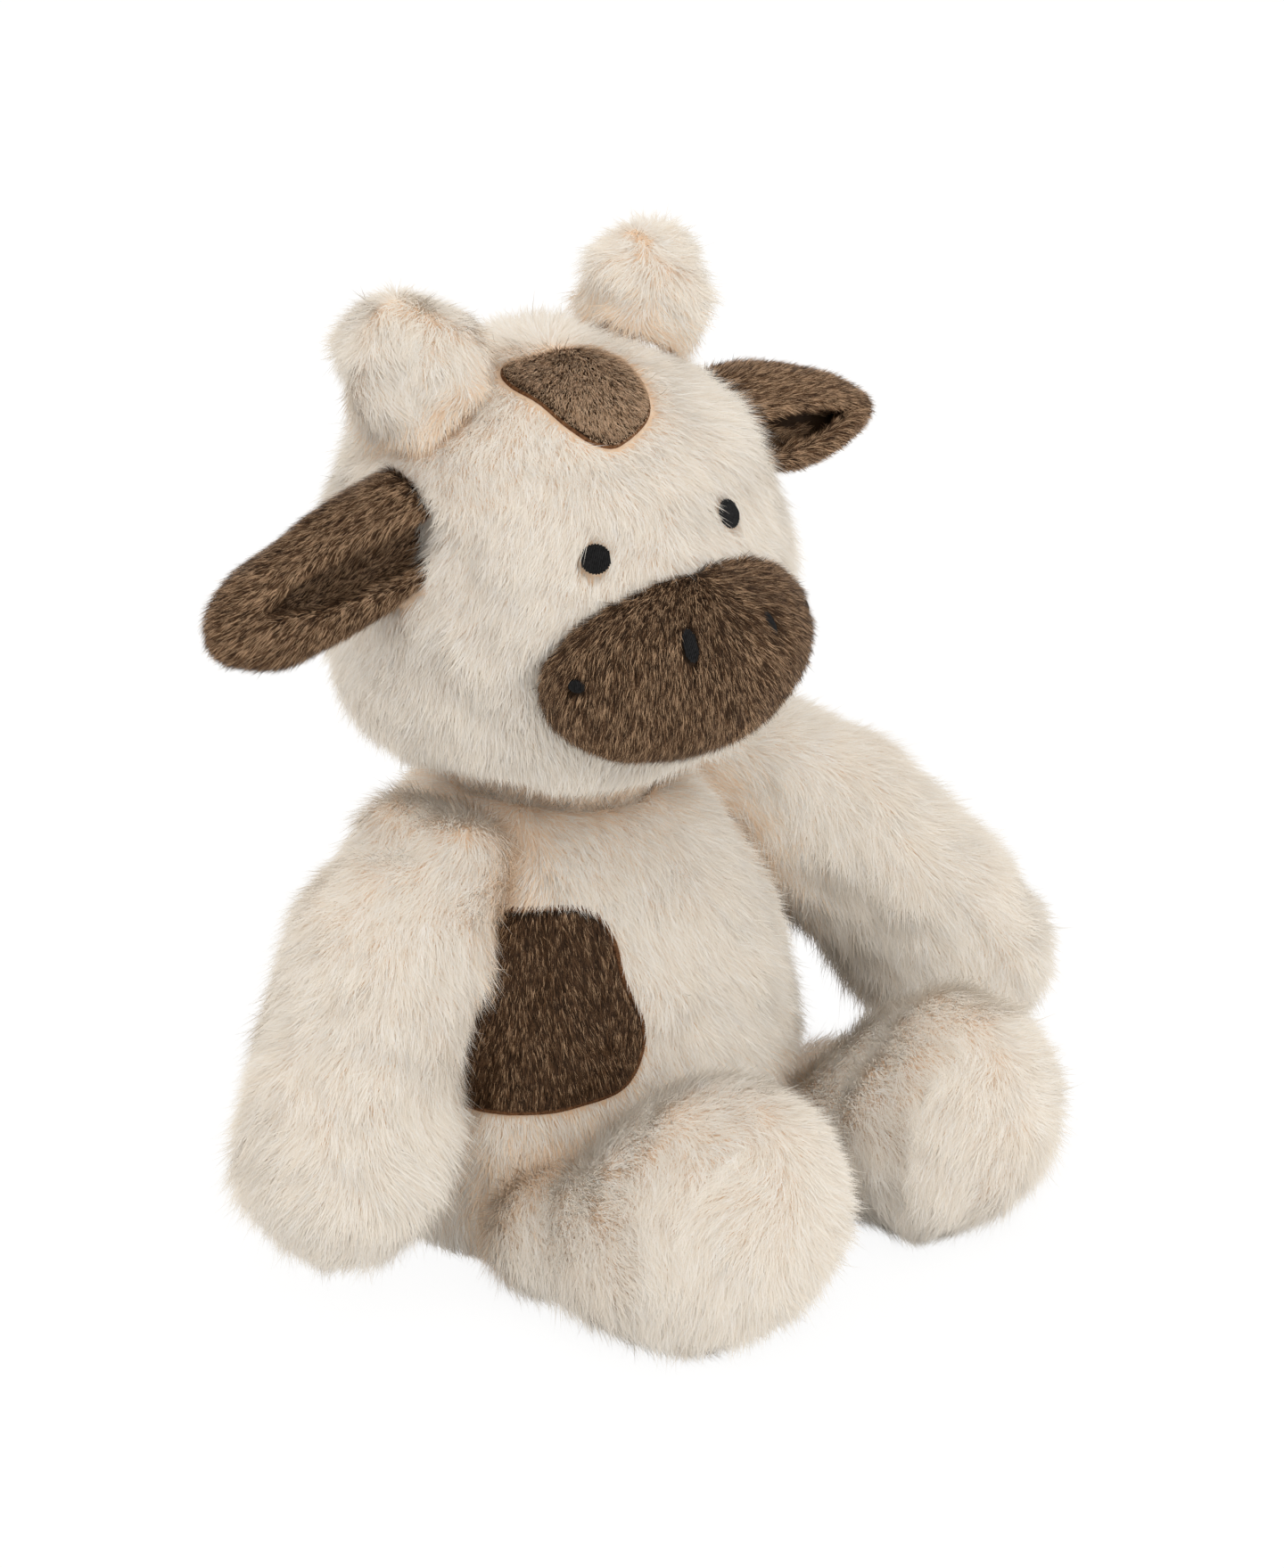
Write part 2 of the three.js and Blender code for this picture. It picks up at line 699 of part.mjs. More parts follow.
for (const side of sides) {
  const name = nameOfSide(side);
  addPiece(`eye_${name}`, placeHead(eye(side)), black);
  addPiece(`nostril_${name}`, placeHead(nostril(side)), black);
  addPiece(`mouth_corner_${name}`, placeHead(mouthCorner(side)), black);
  addPiece(`horn_${name}`, placeHead(horn(side)), cream);
  addPiece(`ear_${name}`, placeHead(ear(side)), brown);
  const armPieces = armParts(side);
  addPiece(`arm_${name}_skin`, armPieces.skin, cream);
  addPiece(`arm_${name}_stuffing`, armPieces.filling, white);
  const legPieces = legParts(side);
  addPiece(`leg_${name}_skin`, legPieces.skin, cream);
  addPiece(`leg_${name}_stuffing`, legPieces.filling, white);
}

const sidePatches = [
  ["right", rightPatchShares, rightPatchSize, rightPatchTurn, rightPatchRise],
  ["left", leftPatchShares, leftPatchSize, leftPatchTurn, leftPatchRise],
];
for (const [name, shares, size, turn, rise] of sidePatches) {
  addPiece(`side_patch_${name}`, sidePatch(shares, size, turn, rise), brown);
  addPiece(`side_patch_${name}_stitching`, sideStitching(shares, size, turn, rise), rust);
}

addPiece("tail_cord", tailCord(), cream);
addPiece("tail_tuft", tailTuft(), brown);

// The origin goes to the middle of the overall box, on the ground
toy.updateMatrixWorld(true);
const middle = new THREE.Box3().setFromObject(toy).getCenter(new THREE.Vector3());
toy.position.set(-middle.x, -middle.y, 0);

export default toy;
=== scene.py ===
"""A seated plush cow: long cream pile, with short brown pile on its ears, muzzle and patches.

Metres: +Z is up, the body faces -Y, and its right side is -X.
"""

import json
import math
from types import SimpleNamespace

import bpy
import numpy as np
from mathutils import Matrix, Vector
from mathutils.bvhtree import BVHTree


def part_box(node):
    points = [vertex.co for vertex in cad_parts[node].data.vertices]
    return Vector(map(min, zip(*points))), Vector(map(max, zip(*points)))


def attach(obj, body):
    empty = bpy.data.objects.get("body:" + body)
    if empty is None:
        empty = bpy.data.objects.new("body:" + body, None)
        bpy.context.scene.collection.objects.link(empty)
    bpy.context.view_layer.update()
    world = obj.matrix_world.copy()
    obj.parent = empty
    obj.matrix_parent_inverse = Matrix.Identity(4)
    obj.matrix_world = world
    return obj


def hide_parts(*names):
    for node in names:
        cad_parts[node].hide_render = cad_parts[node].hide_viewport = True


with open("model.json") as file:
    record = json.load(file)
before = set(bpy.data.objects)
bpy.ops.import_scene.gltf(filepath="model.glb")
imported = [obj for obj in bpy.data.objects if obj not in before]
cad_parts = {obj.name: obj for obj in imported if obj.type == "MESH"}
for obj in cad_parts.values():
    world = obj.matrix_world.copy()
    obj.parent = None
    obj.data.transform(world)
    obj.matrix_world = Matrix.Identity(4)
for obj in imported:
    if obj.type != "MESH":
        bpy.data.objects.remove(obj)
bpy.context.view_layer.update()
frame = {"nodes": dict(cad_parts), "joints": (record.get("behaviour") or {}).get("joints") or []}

# Camera: the photograph's angle, from the toy's right front and above
CAMERA_AZIMUTH = -48
CAMERA_ELEVATION = 25
CAMERA_DISTANCE = 1.5
CAMERA_AIM_OFFSET = Vector((0, -0.033, 0.129))
SENSOR = 36
LENS = 122.8

# Head frame, as degrees and a height above the neck's joint
HEAD_LIFT = 0.069
HEAD_TURN = -12
HEAD_TILT = -3

# Backing cloth: how far it lies inside the solids, its grain, and how its mesh is made
CREAM_INSET = 0.0014
BROWN_INSET = 0.0012
FLOOR_GAP = 0.0003
GRAIN = 0.0016
GRAIN_DETAIL = 4
GRAIN_RAMP = (0.35, 0.65)
BUMP_STRENGTH = 0.6
SKIN_VOXEL = 0.0026
SMALL_VOXEL = 0.0013
MUZZLE_VOXEL = SMALL_VOXEL * 1.5
SKIN_ROUNDS = 26
SMALL_ROUNDS = 8
COLLAR_ROUNDS = 2
SMOOTHING_SHARES = (0.6, -0.61)

# Pile: lengths, widths and strands per square metre
HEAD_PILE = 0.0082
BODY_PILE = 0.0082
LIMB_PILE = 0.009
HORN_PILE = 0.007
BROWN_PILE = 0.0048
PATCH_PILE = 0.004
EAR_PILE = 0.0046
TAIL_PILE = 0.005
TUFT_PILE = 0.011
CREAM_WIDTH = 0.00023
BROWN_WIDTH = 0.00018
CREAM_PER_AREA = 4.2e6
BROWN_PER_AREA = 10e6
HORN_PER_AREA = CREAM_PER_AREA * 1.2
MOST_STRANDS = 65000

# Pile beside a seam: its reach, and how far a seam's painted shade reaches; pile in an ear's fold is shorter
# and painted darker as shade
SEAM_REACH = 0.009
SHADE_REACH = 0.011
COVERED = 0.0045
LEAST_ROOM = 0.02
PAINTED_SEAM_SHADE_SHARE = 0.9
POCKET_START = 0.0008
POCKET_REACH = 0.012
POCKET_SHARE = 0.4
POCKET_PAINTED_SHADE = 2.2

# How strands lie, curve, clump and take light. The ways are those of a pile that has none of its own.
LIMB_CLUMP = 0.0045
HORN_CLUMP = 0.005
BROWN_CLUMP = 0.003
HORN_SWIRL = 0.014
PILE_WAYS = {
    "rise": 0.5, "clump": 0.28, "clump_size": 0.0034, "swirl": 0.9, "swirl_size": 0.02,
    "fuzz": 0.2, "patchy": 0.2, "lift": 0, "seam_share": 0.7,
}
SWIRL_SHARES = (0.65, 0.35)
LENGTH_RANGE = (0.72, 1.12)
RISE_UNEVENNESS = 0.22
RISE_RANGE = (0.8, 1.2)
RISE_LIMITS = (0.05, 0.98)
PRESSED_SHARE = 0.55
STRAND_BEND = 0.55
STRAND_STEPS = np.array([0, 0.5, 1.0])
STRAND_WIDTHS = np.array([1, 0.8])
STRAND_TRIANGLES = np.array([[0, 1, 3], [0, 3, 2], [2, 3, 4]])
STRAND_CORNERS = 5
WIDTH_RANGE = (0.75, 1.25)
MOST_TWIST = 0.35
LIT_SHARE = 0.92
CLUMP_LIGHT = 0.9
TUFT_SCALE = 3.5
TUFT_LIGHT = 0.85
CREAM_STREAK = 0.0011
BROWN_STREAK = 0.00045
STREAK_SHARE = 1.7
DOWN = np.array([0, 0, -1.0])

# Colours of cloth and thread: a dark tone, a light tone and a roughness. The cream backing's peach is painted
# warm shade, seen deep in the pile between the strands
CREAM_CLOTH_PAINTED_SHADE = ((0.82, 0.60, 0.42), (0.87, 0.69, 0.53), 0.95)
BROWN_CLOTH = ((0.030, 0.018, 0.011), (0.06, 0.036, 0.022), 0.95)
RUST_THREAD = ((0.10, 0.042, 0.018), (0.26, 0.125, 0.058), 0.7)
BLACK_THREAD = ((0.006, 0.006, 0.006), (0.02, 0.02, 0.021), 0.5)
SPECULAR = 0.15
SHEEN_ROUGHNESS = 0.5

# Colours of the pile: the first is the root's, the others are the strands' own. The cream root's warmer tone
# is painted shade deep in the pile, and the last cream tone is a peach painted shade for strands in a seam
CREAM_TONES_AND_PAINTED_SHADE = [
    (0.88, 0.79, 0.69), (0.90, 0.85, 0.775), (0.85, 0.78, 0.69), (0.92, 0.89, 0.845), (0.87, 0.69, 0.52),
]
BROWN_TONES = [
    (0.032, 0.016, 0.007), (0.048, 0.024, 0.011), (0.15, 0.08, 0.04), (0.55, 0.36, 0.22), (0.7, 0.5, 0.34),
]
CREAM_ROUGHNESS = 0.75
BROWN_ROUGHNESS = 0.6
CREAM_SHEEN = 0.15

# Which tone is painted shade in a seam or an ear's fold, and how many strands have each tone after the
# root's. The side patches' darker mix is painted shade and the brow patch's lighter mix painted top light
CREAM_PAINTED_SHADE_TONE = 4
BROWN_PAINTED_SHADE_TONE = 1
CREAM_MIX = (4, 3, 3)
BROWN_MIX = (6, 3, 2.8)
PAINTED_SHADE_MIX = (6, 4, 1.3)
PAINTED_LIGHT_MIX = (1, 1.6, 4, 9)
EAR_MIX = (4, 4, 4.2)

# Embroidery: half sizes of each oval, and how far it is from its solid's middle in the head's frame
EYE_HALVES = {"right": (0.0042, 0.0042), "left": (0.0042, 0.0042)}
NOSTRIL_HALVES = {"right": (0.0021, 0.0048), "left": (0.0014, 0.0036)}
MOUTH_HALVES = {"right": (0.0025, 0.0018), "left": (0.0025, 0.0018)}
EYE_SHIFTS = {"right": (0, 0, 0), "left": (0, 0, 0)}
NOSTRIL_SHIFTS = {"right": (0.0032, 0, 0.0028), "left": (0.0032, 0, 0.0012)}
MOUTH_SHIFTS = {"right": (-0.0032, 0, 0.0012), "left": (0.0032, 0, 0.0012)}
EYE_LIFT = 0.0022
EYE_DOME = 0.0006
DOME_FALL = 0.6
THREAD = 0.00042
THREAD_HEIGHT = 0.00035
THREAD_OVERLAP = 0.56
THREAD_STEPS = 10
THREAD_ARCH = [(-1, -0.6), (-0.7, 0.5), (0, 1), (0.7, 0.5), (1, -0.6)]
SHORT_THREAD = 0.05
LEAST_THREAD = 0.02
THREAD_BLUNTNESS = 8
LEAST_END = 0.05
CLEARING = 0.0001
SPOT_REACH = 0.012
CUT_SHARE = 0.6
CUT_ROUNDS = 3

# Ears, in the head's frame: places, half sizes, and how the fold changes from root to tip
EAR_ROOT = (0.047, -0.011, 0.0315)
EAR_TIPS = {"right": (0.1125, -0.004, 0.0095), "left": (0.1085, -0.003, 0.016)}
EAR_ACROSS = (0, 1, 1.25)
EAR_ARCH = -0.001
EAR_WIDTH = 0.0165
EAR_THICKNESS = 0.0095
EAR_BLUNTNESS = 7
EAR_OPENINGS = (130, 126, 116, 102, 92, 90)
EAR_STATIONS = (0, 0.12, 0.35, 0.6, 0.8, 1)
EAR_WIDTHS = {"right": (0.96, 0.96, 0.94, 0.92, 0.9, 0.74), "left": (0.85, 0.9, 0.9, 0.8, 0.62, 0.36)}
EAR_OPENING_SHIFTS = {"right": 0, "left": 16}
EAR_THICKS = (0.9, 1, 1, 0.95, 0.85, 0.7)
EAR_GAPES = (24, 31, 37, 27, 6, 2)
EAR_WALLS = (0.4, 0.34, 0.3, 0.32, 0.55, 0.9)
EAR_RINGS = 30
EAR_SIDES = 30

# Patches, as outlines in shares of their size, sideways and up
STITCH_LAP = 0.0003
STITCH_WIDTH = 0.0018
STITCH_HEIGHT = 0.0019
STITCH_PITCH = 0.00062
STITCH_PROFILE = [(-0.5, -0.3), (-0.42, 0.45), (-0.2, 0.85), (0, 1), (0.2, 0.85), (0.42, 0.45), (0.5, -0.3)]
LOW_STITCH_SHARE = 0.7
STITCH_SLANT = 0.8
BROW_STITCH_SHARE = 0.6
PATCH_THICKNESS = 0.0012
PATCH_RINGS = 9
LEAST_RING = 0.02
PATCH_REACH = 4
OUTLINE_POINTS = 120
OUTLINE_STEPS = 24
LEAST_SHARE = 0.25
TRIMMED_SHARE = 0.65
TRIMMED_REACH = 0.014
BROW_SIZE = 0.0188
BROW_LEAN = 67.5
BROW_SWING = -2
BROW_SHARES = [
    (-0.76, 1.1), (-0.32, 1.06), (0.36, 0.96), (0.74, 0.62), (0.82, 0.08), (0.7, -0.42),
    (0.42, -0.78), (-0.16, -1.02), (-0.44, -0.94), (-0.6, -0.7), (-0.82, 0.05), (-0.92, 0.7),
]
RIGHT_SIZE = 0.0264
RIGHT_TURN = -48
RIGHT_RISE = 0.077
RIGHT_SHARES = [
    (-0.9, 0.92), (-0.5, 0.95), (0.2, 0.97), (0.47, 0.83), (0.61, 0.57), (0.7, 0.24), (0.88, -0.14),
    (0.9, -0.46), (0.7, -0.81), (0.16, -0.94), (-0.55, -1), (-1, -0.95), (-1.18, -0.4), (-1.15, 0.4),
]
LEFT_SIZE = 0.025
LEFT_TURN = 66
LEFT_RISE = 0.042
LEFT_SHARES = [
    (-0.95, 0.35), (-0.6, 0.85), (0.1, 0.95), (0.8, 0.7),
    (1.05, 0.1), (0.8, -0.6), (0.1, -0.9), (-0.6, -0.75),
]

# Sags of the filling and swells of the thick pile, as lengths over which they change and depths
SAG_SIZE = 0.034
SAG_DEPTH = 0.0014
TUSSOCK_SIZE = 0.011
TUSSOCK_DEPTH = 0.0007
FOLD_STRETCH = np.array([0.7, 0.7, 2.4])
FOLD_SIZE = 0.03
FOLD_DEPTH = 0.0018

# Swells of the skins: each is a place, a reach and a height, which is below zero for a dent
TORSO_SWELLS = [((-0.058, -0.026, 0.03), 0.026, 0.008), ((-0.040, -0.002, 0.116), 0.018, 0.004)]
HEAD_SWELLS = [((-0.047, 0.004, 0.136), 0.022, -0.0055)]
LEG_SWELLS = {
    "right": [
        ((-0.060, -0.040, 0.022), 0.022, 0.006),
        ((-0.040, -0.092, 0.064), 0.030, 0.0065),
        ((-0.074, -0.078, 0.018), 0.016, 0.005),
    ],
    "left": [
        ((0.027, -0.071, 0.056), 0.016, -0.011),
        ((0.050, -0.044, 0.034), 0.017, -0.008),
        ((0.045, -0.100, 0.065), 0.026, 0.003),
        ((0.020, -0.119, 0.034), 0.010, -0.0035),
    ],
}
COLLAR_RISE = 0.0045
COLLAR_HEIGHT = 0.108
COLLAR_REACH = 0.012
DIMPLE_RADIUS = 0.011
DIMPLE_DEPTH = 0.0032
CHIN_HEIGHT = 0.132
CHIN_REACH = 0.016
CHIN_SHARE = 0.6

# Horns: the seam's height above the head's middle, and how each knob is slimmed and lumpy
HORN_FOOT = 0.063
HORN_FOOT_REACH = 0.008
HORN_FOOT_SWELL = 0.12
HORN_SLIMMING = {"right": 1.03, "left": 0.78}
LUMP_SIZE = 0.011
LUMP_DEPTH = 0.0038

# Which way the pile is combed
HEAD_STRETCH = np.array([1, 0.5, 0])
HEAD_SPREAD = 0.45
MUZZLE_STRETCH = np.array([1, 0.3, 0])
MUZZLE_SPREAD = 0.35
LEVEL = np.array([1, 1, 0])
LIMB_DROOP = 0.35
ARM_DROP = Vector((0, 0, -0.03))
SHOULDER_REACH = 0.035
SHOULDER_PULL = 1.6
WHORL_REACH = 0.016
FOOT_SPREAD = 0.6
FOOT_FRONT = 1.6
LEG_DROOP = 0.6
KNOB_SPREAD = 0.2

# Random values
NOISE_SEED = 11
NOISE_CELLS = 32
CHANNEL_STEP = 7.31
TINY = 1e-12
SEEDS = {
    "head": 1, "torso": 2, "collar": 3, "arm": 10, "leg": 20, "horn": 30, "ear": 40,
    "muzzle": 50, "brow": 51, "right_patch": 52, "left_patch": 53, "cord": 60, "tuft": 61,
}

# Floor, world and lamps: a lamp's azimuth from the camera's, elevation, size, power and colour
FLOOR_SIZE = 12
FLOOR_COLOUR = (0.93, 0.93, 0.93)
FLOOR_ROUGHNESS = 0.9
FLOOR_GLOW = 0.88
GLOW_STRENGTH = 1.05
WHITE = (1, 1, 1, 1)
WORLD_COLOUR = (1, 0.94, 0.86, 1)
WORLD_STRENGTH = 0.70
LAMP_DISTANCE = 2.2
LAMPS = {
    "key": (30, 72, 1.8, 7.5, (0.95, 0.98, 1)),
    "side": (45, 25, 1.6, 12.5, (0.97, 0.99, 1)),
    "left": (-85, 28, 1.8, 8.5, (0.98, 0.99, 1)),
    "behind": (-165, 32, 1.6, 9, (1, 0.98, 0.95)),
}

CREAM = "cream_fur_fabric"
BROWN = "brown_fur_fabric"
RUST = "rust_thread_fabric"
BLACK = "black_thread_fabric"
SIDES = ("right", "left")


def joint_place(name):
    return Vector(next(joint["pos_m"] for joint in frame["joints"] if joint["name"] == name))


def turn(degrees, axis):
    return Matrix.Rotation(math.radians(degrees), 4, axis)


neck = joint_place("neck_turn")
torso_foot = Vector((neck.x, neck.y, 0))
head_frame = Matrix.Translation(neck + Vector((0, 0, HEAD_LIFT)))
head_frame = head_frame @ turn(HEAD_TURN, "Z") @ turn(HEAD_TILT, "Y")
head_middle = head_frame.translation
shoulders = {side: joint_place(f"shoulder_{side}_lift") for side in SIDES}
hips = {side: joint_place(f"hip_{side}_lift") for side in SIDES}
ear_roots = {side: joint_place(f"ear_{side}_flop") for side in SIDES}
tail_root = joint_place("tail_lift")


def middle_of(node):
    low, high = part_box(node)
    return (low + high) / 2


# Smooth random values

noise_table = np.random.default_rng(NOISE_SEED).uniform(-1, 1, (NOISE_CELLS,) * 3)


def soft_noise(points, size, channel=0):
    """Random values between -1 and 1 that change smoothly over a length of size"""
    place = points / size + channel * CHANNEL_STEP
    cell = np.floor(place).astype(int)
    part = place - cell
    part = part * part * (3 - 2 * part)
    total = np.zeros(len(points))
    for corner in np.ndindex(2, 2, 2):
        weight = np.prod([part[:, i] if corner[i] else 1 - part[:, i] for i in range(3)], axis=0)
        index = [(cell[:, i] + corner[i]) % NOISE_CELLS for i in range(3)]
        total += weight * noise_table[index[0], index[1], index[2]]
    return total


def unit(vectors):
    return vectors / np.maximum(np.linalg.norm(vectors, axis=-1, keepdims=True), TINY)


def tangent(vectors, normals):
    return vectors - normals * np.sum(vectors * normals, axis=-1, keepdims=True)


# Materials

def shader_of(name, colour, roughness, sheen=0.0):
    material = bpy.data.materials.new(name)
    material.use_nodes = True
    shader = material.node_tree.nodes["Principled BSDF"]
    shader.inputs["Base Color"].default_value = (*colour, 1)
    shader.inputs["Roughness"].default_value = roughness
    shader.inputs["Specular IOR Level"].default_value = SPECULAR
    shader.inputs["Sheen Weight"].default_value = sheen
    shader.inputs["Sheen Roughness"].default_value = SHEEN_ROUGHNESS
    return material, shader


def cloth_material(name, dark, light, roughness, grain):
    """Backing cloth: two tones in a fine grain, with a bump of the same grain"""
    material, shader = shader_of(name, light, roughness)
    nodes, links = material.node_tree.nodes, material.node_tree.links
    place = nodes.new("ShaderNodeTexCoord")
    noise = nodes.new("ShaderNodeTexNoise")
    noise.inputs["Scale"].default_value = 1 / grain
    noise.inputs["Detail"].default_value = GRAIN_DETAIL
    ramp = nodes.new("ShaderNodeValToRGB")
    for element, position, tone in zip(ramp.color_ramp.elements, GRAIN_RAMP, (dark, light)):
        element.position = position
        element.color = (*tone, 1)
    bump = nodes.new("ShaderNodeBump")
    bump.inputs["Strength"].default_value = BUMP_STRENGTH
    bump.inputs["Distance"].default_value = grain / 2
    links.new(place.outputs["Object"], noise.inputs["Vector"])
    links.new(noise.outputs["Fac"], ramp.inputs["Fac"])
    links.new(ramp.outputs["Color"], shader.inputs["Base Color"])
    links.new(noise.outputs["Fac"], bump.inputs["Height"])
    links.new(bump.outputs["Normal"], shader.inputs["Normal"])
    return material


# The cream backing's peach, over its grain, is painted warm shade seen between the strands
cream_cloth_painted_shade = cloth_material("cream_backing_painted_shade", *CREAM_CLOTH_PAINTED_SHADE, GRAIN)
brown_cloth = cloth_material("brown_backing", *BROWN_CLOTH, GRAIN)
rust_thread = cloth_material("rust_thread", *RUST_THREAD, GRAIN / 2)
black_thread = cloth_material("black_thread", *BLACK_THREAD, GRAIN / 2)
cream_painted_shade_look = (CREAM, cream_cloth_painted_shade)
brown_look = (BROWN, brown_cloth)
rust_look = (RUST, rust_thread)
black_look = (BLACK, black_thread)


def strand_materials(name, tones, roughness, sheen):
    return [shader_of(f"{name}_{i + 1}", tone, roughness, sheen)[0] for i, tone in enumerate(tones)]


# The first cream tone, at each root, and the last, in seams, are painted shade
cream_strands = strand_materials("cream_pile", CREAM_TONES_AND_PAINTED_SHADE, CREAM_ROUGHNESS, CREAM_SHEEN)
brown_strands = strand_materials("brown_pile", BROWN_TONES, BROWN_ROUGHNESS, 0.0)


# Mesh building

def mesh_object(name, vertices, faces, materials, material_index=None, normals=None):
    """An object of an array of vertices and one of faces with equally many corners"""
    corners = faces.shape[1]
    mesh = bpy.data.meshes.new(name)
    mesh.vertices.add(len(vertices))
    mesh.vertices.foreach_set("co", np.ascontiguousarray(vertices, np.float32).ravel())
    mesh.loops.add(faces.size)
    mesh.loops.foreach_set("vertex_index", np.ascontiguousarray(faces, np.int32).ravel())
    mesh.polygons.add(len(faces))
    mesh.polygons.foreach_set("loop_start", np.arange(len(faces), dtype=np.int32) * corners)
    mesh.polygons.foreach_set("use_smooth", np.ones(len(faces), bool))
    for material in materials:
        mesh.materials.append(material)
    if material_index is not None:
        mesh.polygons.foreach_set("material_index", np.ascontiguousarray(material_index, np.int32))
    mesh.update(calc_edges=True)
    if normals is not None:
        mesh.normals_split_custom_set_from_vertices(normals)
    made = bpy.data.objects.new(name, mesh)
    bpy.context.scene.collection.objects.link(made)
    return made


def grid_faces(rows, width, around=False, closed=False):
    """Faces of rows of vertices: around joins each row's ends, and closed the last row to the first"""
    faces = []
    for row in range(rows if closed else rows - 1):
        here = row * width
        next_row = (row + 1) % rows * width
        for k in range(width if around else width - 1):
            beside = (k + 1) % width
            faces.append([here + k, here + beside, next_row + beside, next_row + k])
    return faces


def sewn_piece(name, vertices, faces, look, skin, node):
    """A piece that is sewn on a skin, moves with it and stands for one solid"""
    slot, material = look
    made = mesh_object(name, np.array(vertices), np.array(faces), [material])
    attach(made, skin.body)
    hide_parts(node)


def numbers_of(items, field, width=3, kind=float):
    """A mesh's numbers, with a row for each vertex, edge or triangle"""
    values = np.empty(len(items) * width, kind)
    items.foreach_get(field, values)
    return values.reshape(-1, width)


def arrays_of(mesh):
    """Vertices, triangles and vertex normals of a mesh"""
    mesh.calc_loop_triangles()
    triangles = numbers_of(mesh.loop_triangles, "vertices", kind=np.int32)
    return numbers_of(mesh.vertices, "co"), triangles, numbers_of(mesh.vertices, "normal")


def smoothed(vertices, edges, rounds):
    """Vertices after rounds of smoothing that keep the volume"""
    count = np.bincount(edges.ravel(), minlength=len(vertices))[:, None]
    for step in range(rounds * 2):
        total = np.zeros_like(vertices)
        for axis in range(3):
            for here, there in ((0, 1), (1, 0)):
                total[:, axis] += np.bincount(edges[:, here], vertices[edges[:, there], axis], len(vertices))
        vertices = vertices + SMOOTHING_SHARES[step % 2] * (total / count - vertices)
    return vertices


def remeshed(name, vertices, faces, voxel, rounds):
    """A closed mesh of even voxels round some solids, smoothed"""
    rough = mesh_object(name + "_rough", vertices, faces, [])
    remesh = rough.modifiers.new("voxels", "REMESH")
    remesh.mode = "VOXEL"
    remesh.voxel_size = voxel
    remesh.use_smooth_shade = True
    graph = bpy.context.evaluated_depsgraph_get()
    mesh = bpy.data.meshes.new_from_object(rough.evaluated_get(graph))
    bpy.data.objects.remove(rough)
    mesh.name = name
    edges = numbers_of(mesh.edges, "vertices", 2, np.int32)
    points = smoothed(arrays_of(mesh)[0], edges, rounds)
    mesh.vertices.foreach_set("co", points.astype(np.float32).ravel())
    mesh.update()
    return mesh


def solids_of(nodes):
    """Vertices and triangles of some solids, as one pair of arrays"""
    vertices, faces, start = [], [], 0
    for node in nodes:
        points, triangles, _ = arrays_of(frame["nodes"][node].data)
        vertices.append(points)
        faces.append(triangles + start)
        start += len(points)
    return np.concatenate(vertices), np.concatenate(faces)


class Skin:
    """The stuffed cloth that pile grows on: an object, its arrays and a tree for finding places on it"""

    def __init__(self, name, solid, nodes, body, look, voxel, rounds, inset, shape=None):
        slot, material = look
        mesh = remeshed(name, *solid, voxel, rounds)
        points, _, normals = arrays_of(mesh)
        points = points - normals * inset
        if shape:
            points = shape(points, normals)
        points[:, 2] = np.maximum(points[:, 2], FLOOR_GAP)
        mesh.vertices.foreach_set("co", points.astype(np.float32).ravel())
        mesh.update()
        mesh.materials.clear()
        mesh.materials.append(material)
        self.object = bpy.data.objects.new(name, mesh)
        bpy.context.scene.collection.objects.link(self.object)
        self.body = body
        self.wide = voxel >= SKIN_VOXEL and rounds >= SKIN_ROUNDS
        self.points, self.triangles, self.normals = arrays_of(mesh)
        self.tree = BVHTree.FromPolygons([Vector(p) for p in self.points], self.triangles.tolist())
        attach(self.object, body)
        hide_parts(*nodes)

    def nearest(self, place):
        spot, normal, _, _ = self.tree.find_nearest(Vector(place))
        return spot, normal


def room_beside(skin, others, near_share, pressed=()):
    """How long the pile may be at each point of a skin, and how much painted seam shade it takes, more the
    nearer it lies to a skin.
    Pile also fills the gap to the pressed skins. Only large skins give a seam painted shade."""
    points = skin.points
    room = np.ones(len(points))
    painted_shade = np.zeros(len(points))
    for other in (*others, *pressed):
        low = other.points.min(0) - SHADE_REACH * 2
        high = other.points.max(0) + SHADE_REACH * 2
        for i in np.flatnonzero(np.all((points > low) & (points < high), axis=1)):
            place = Vector(points[i])
            distance = other.tree.find_nearest(place)[3]
            if other.wide:
                painted_shade[i] = max(painted_shade[i], math.exp(-((distance / SHADE_REACH) ** 2)))
            if other in pressed:
                continue
            room[i] = min(room[i], near_share + (1 - near_share) * distance / SEAM_REACH)
            ahead = other.tree.ray_cast(place, Vector(skin.normals[i]), SEAM_REACH)[3]
            if ahead is not None:
                room[i] = min(room[i], max((ahead - COVERED) / (SEAM_REACH - COVERED), 0))
    return room, painted_shade


# Pile

def pile_of(length, width, density, **ways):
    """How a pile grows: the length, width and density of its strands, and its other ways"""
    return SimpleNamespace(length=length, width=width, density=density, **{**PILE_WAYS, **ways})


def scatter(skin, density, seed, room):
    """Even random places on a skin, where its room is above zero"""
    rng = np.random.default_rng(seed)
    corners = skin.points[skin.triangles]
    doubled = np.linalg.norm(np.cross(corners[:, 1] - corners[:, 0], corners[:, 2] - corners[:, 0]), axis=1)
    usable = room[skin.triangles].min(axis=1) > LEAST_ROOM
    areas = doubled / 2 * usable
    count = int(areas.sum() * density)
    picked = np.searchsorted(np.cumsum(areas), rng.uniform(0, areas.sum(), count))
    picked = np.minimum(picked, len(areas) - 1)
    a, b = rng.uniform(0, 1, (2, count))
    over = a + b > 1
    a[over] = 1 - a[over]
    b[over] = 1 - b[over]
    weights = np.stack([1 - a - b, a, b], axis=1)
    return skin.triangles[picked], weights, rng


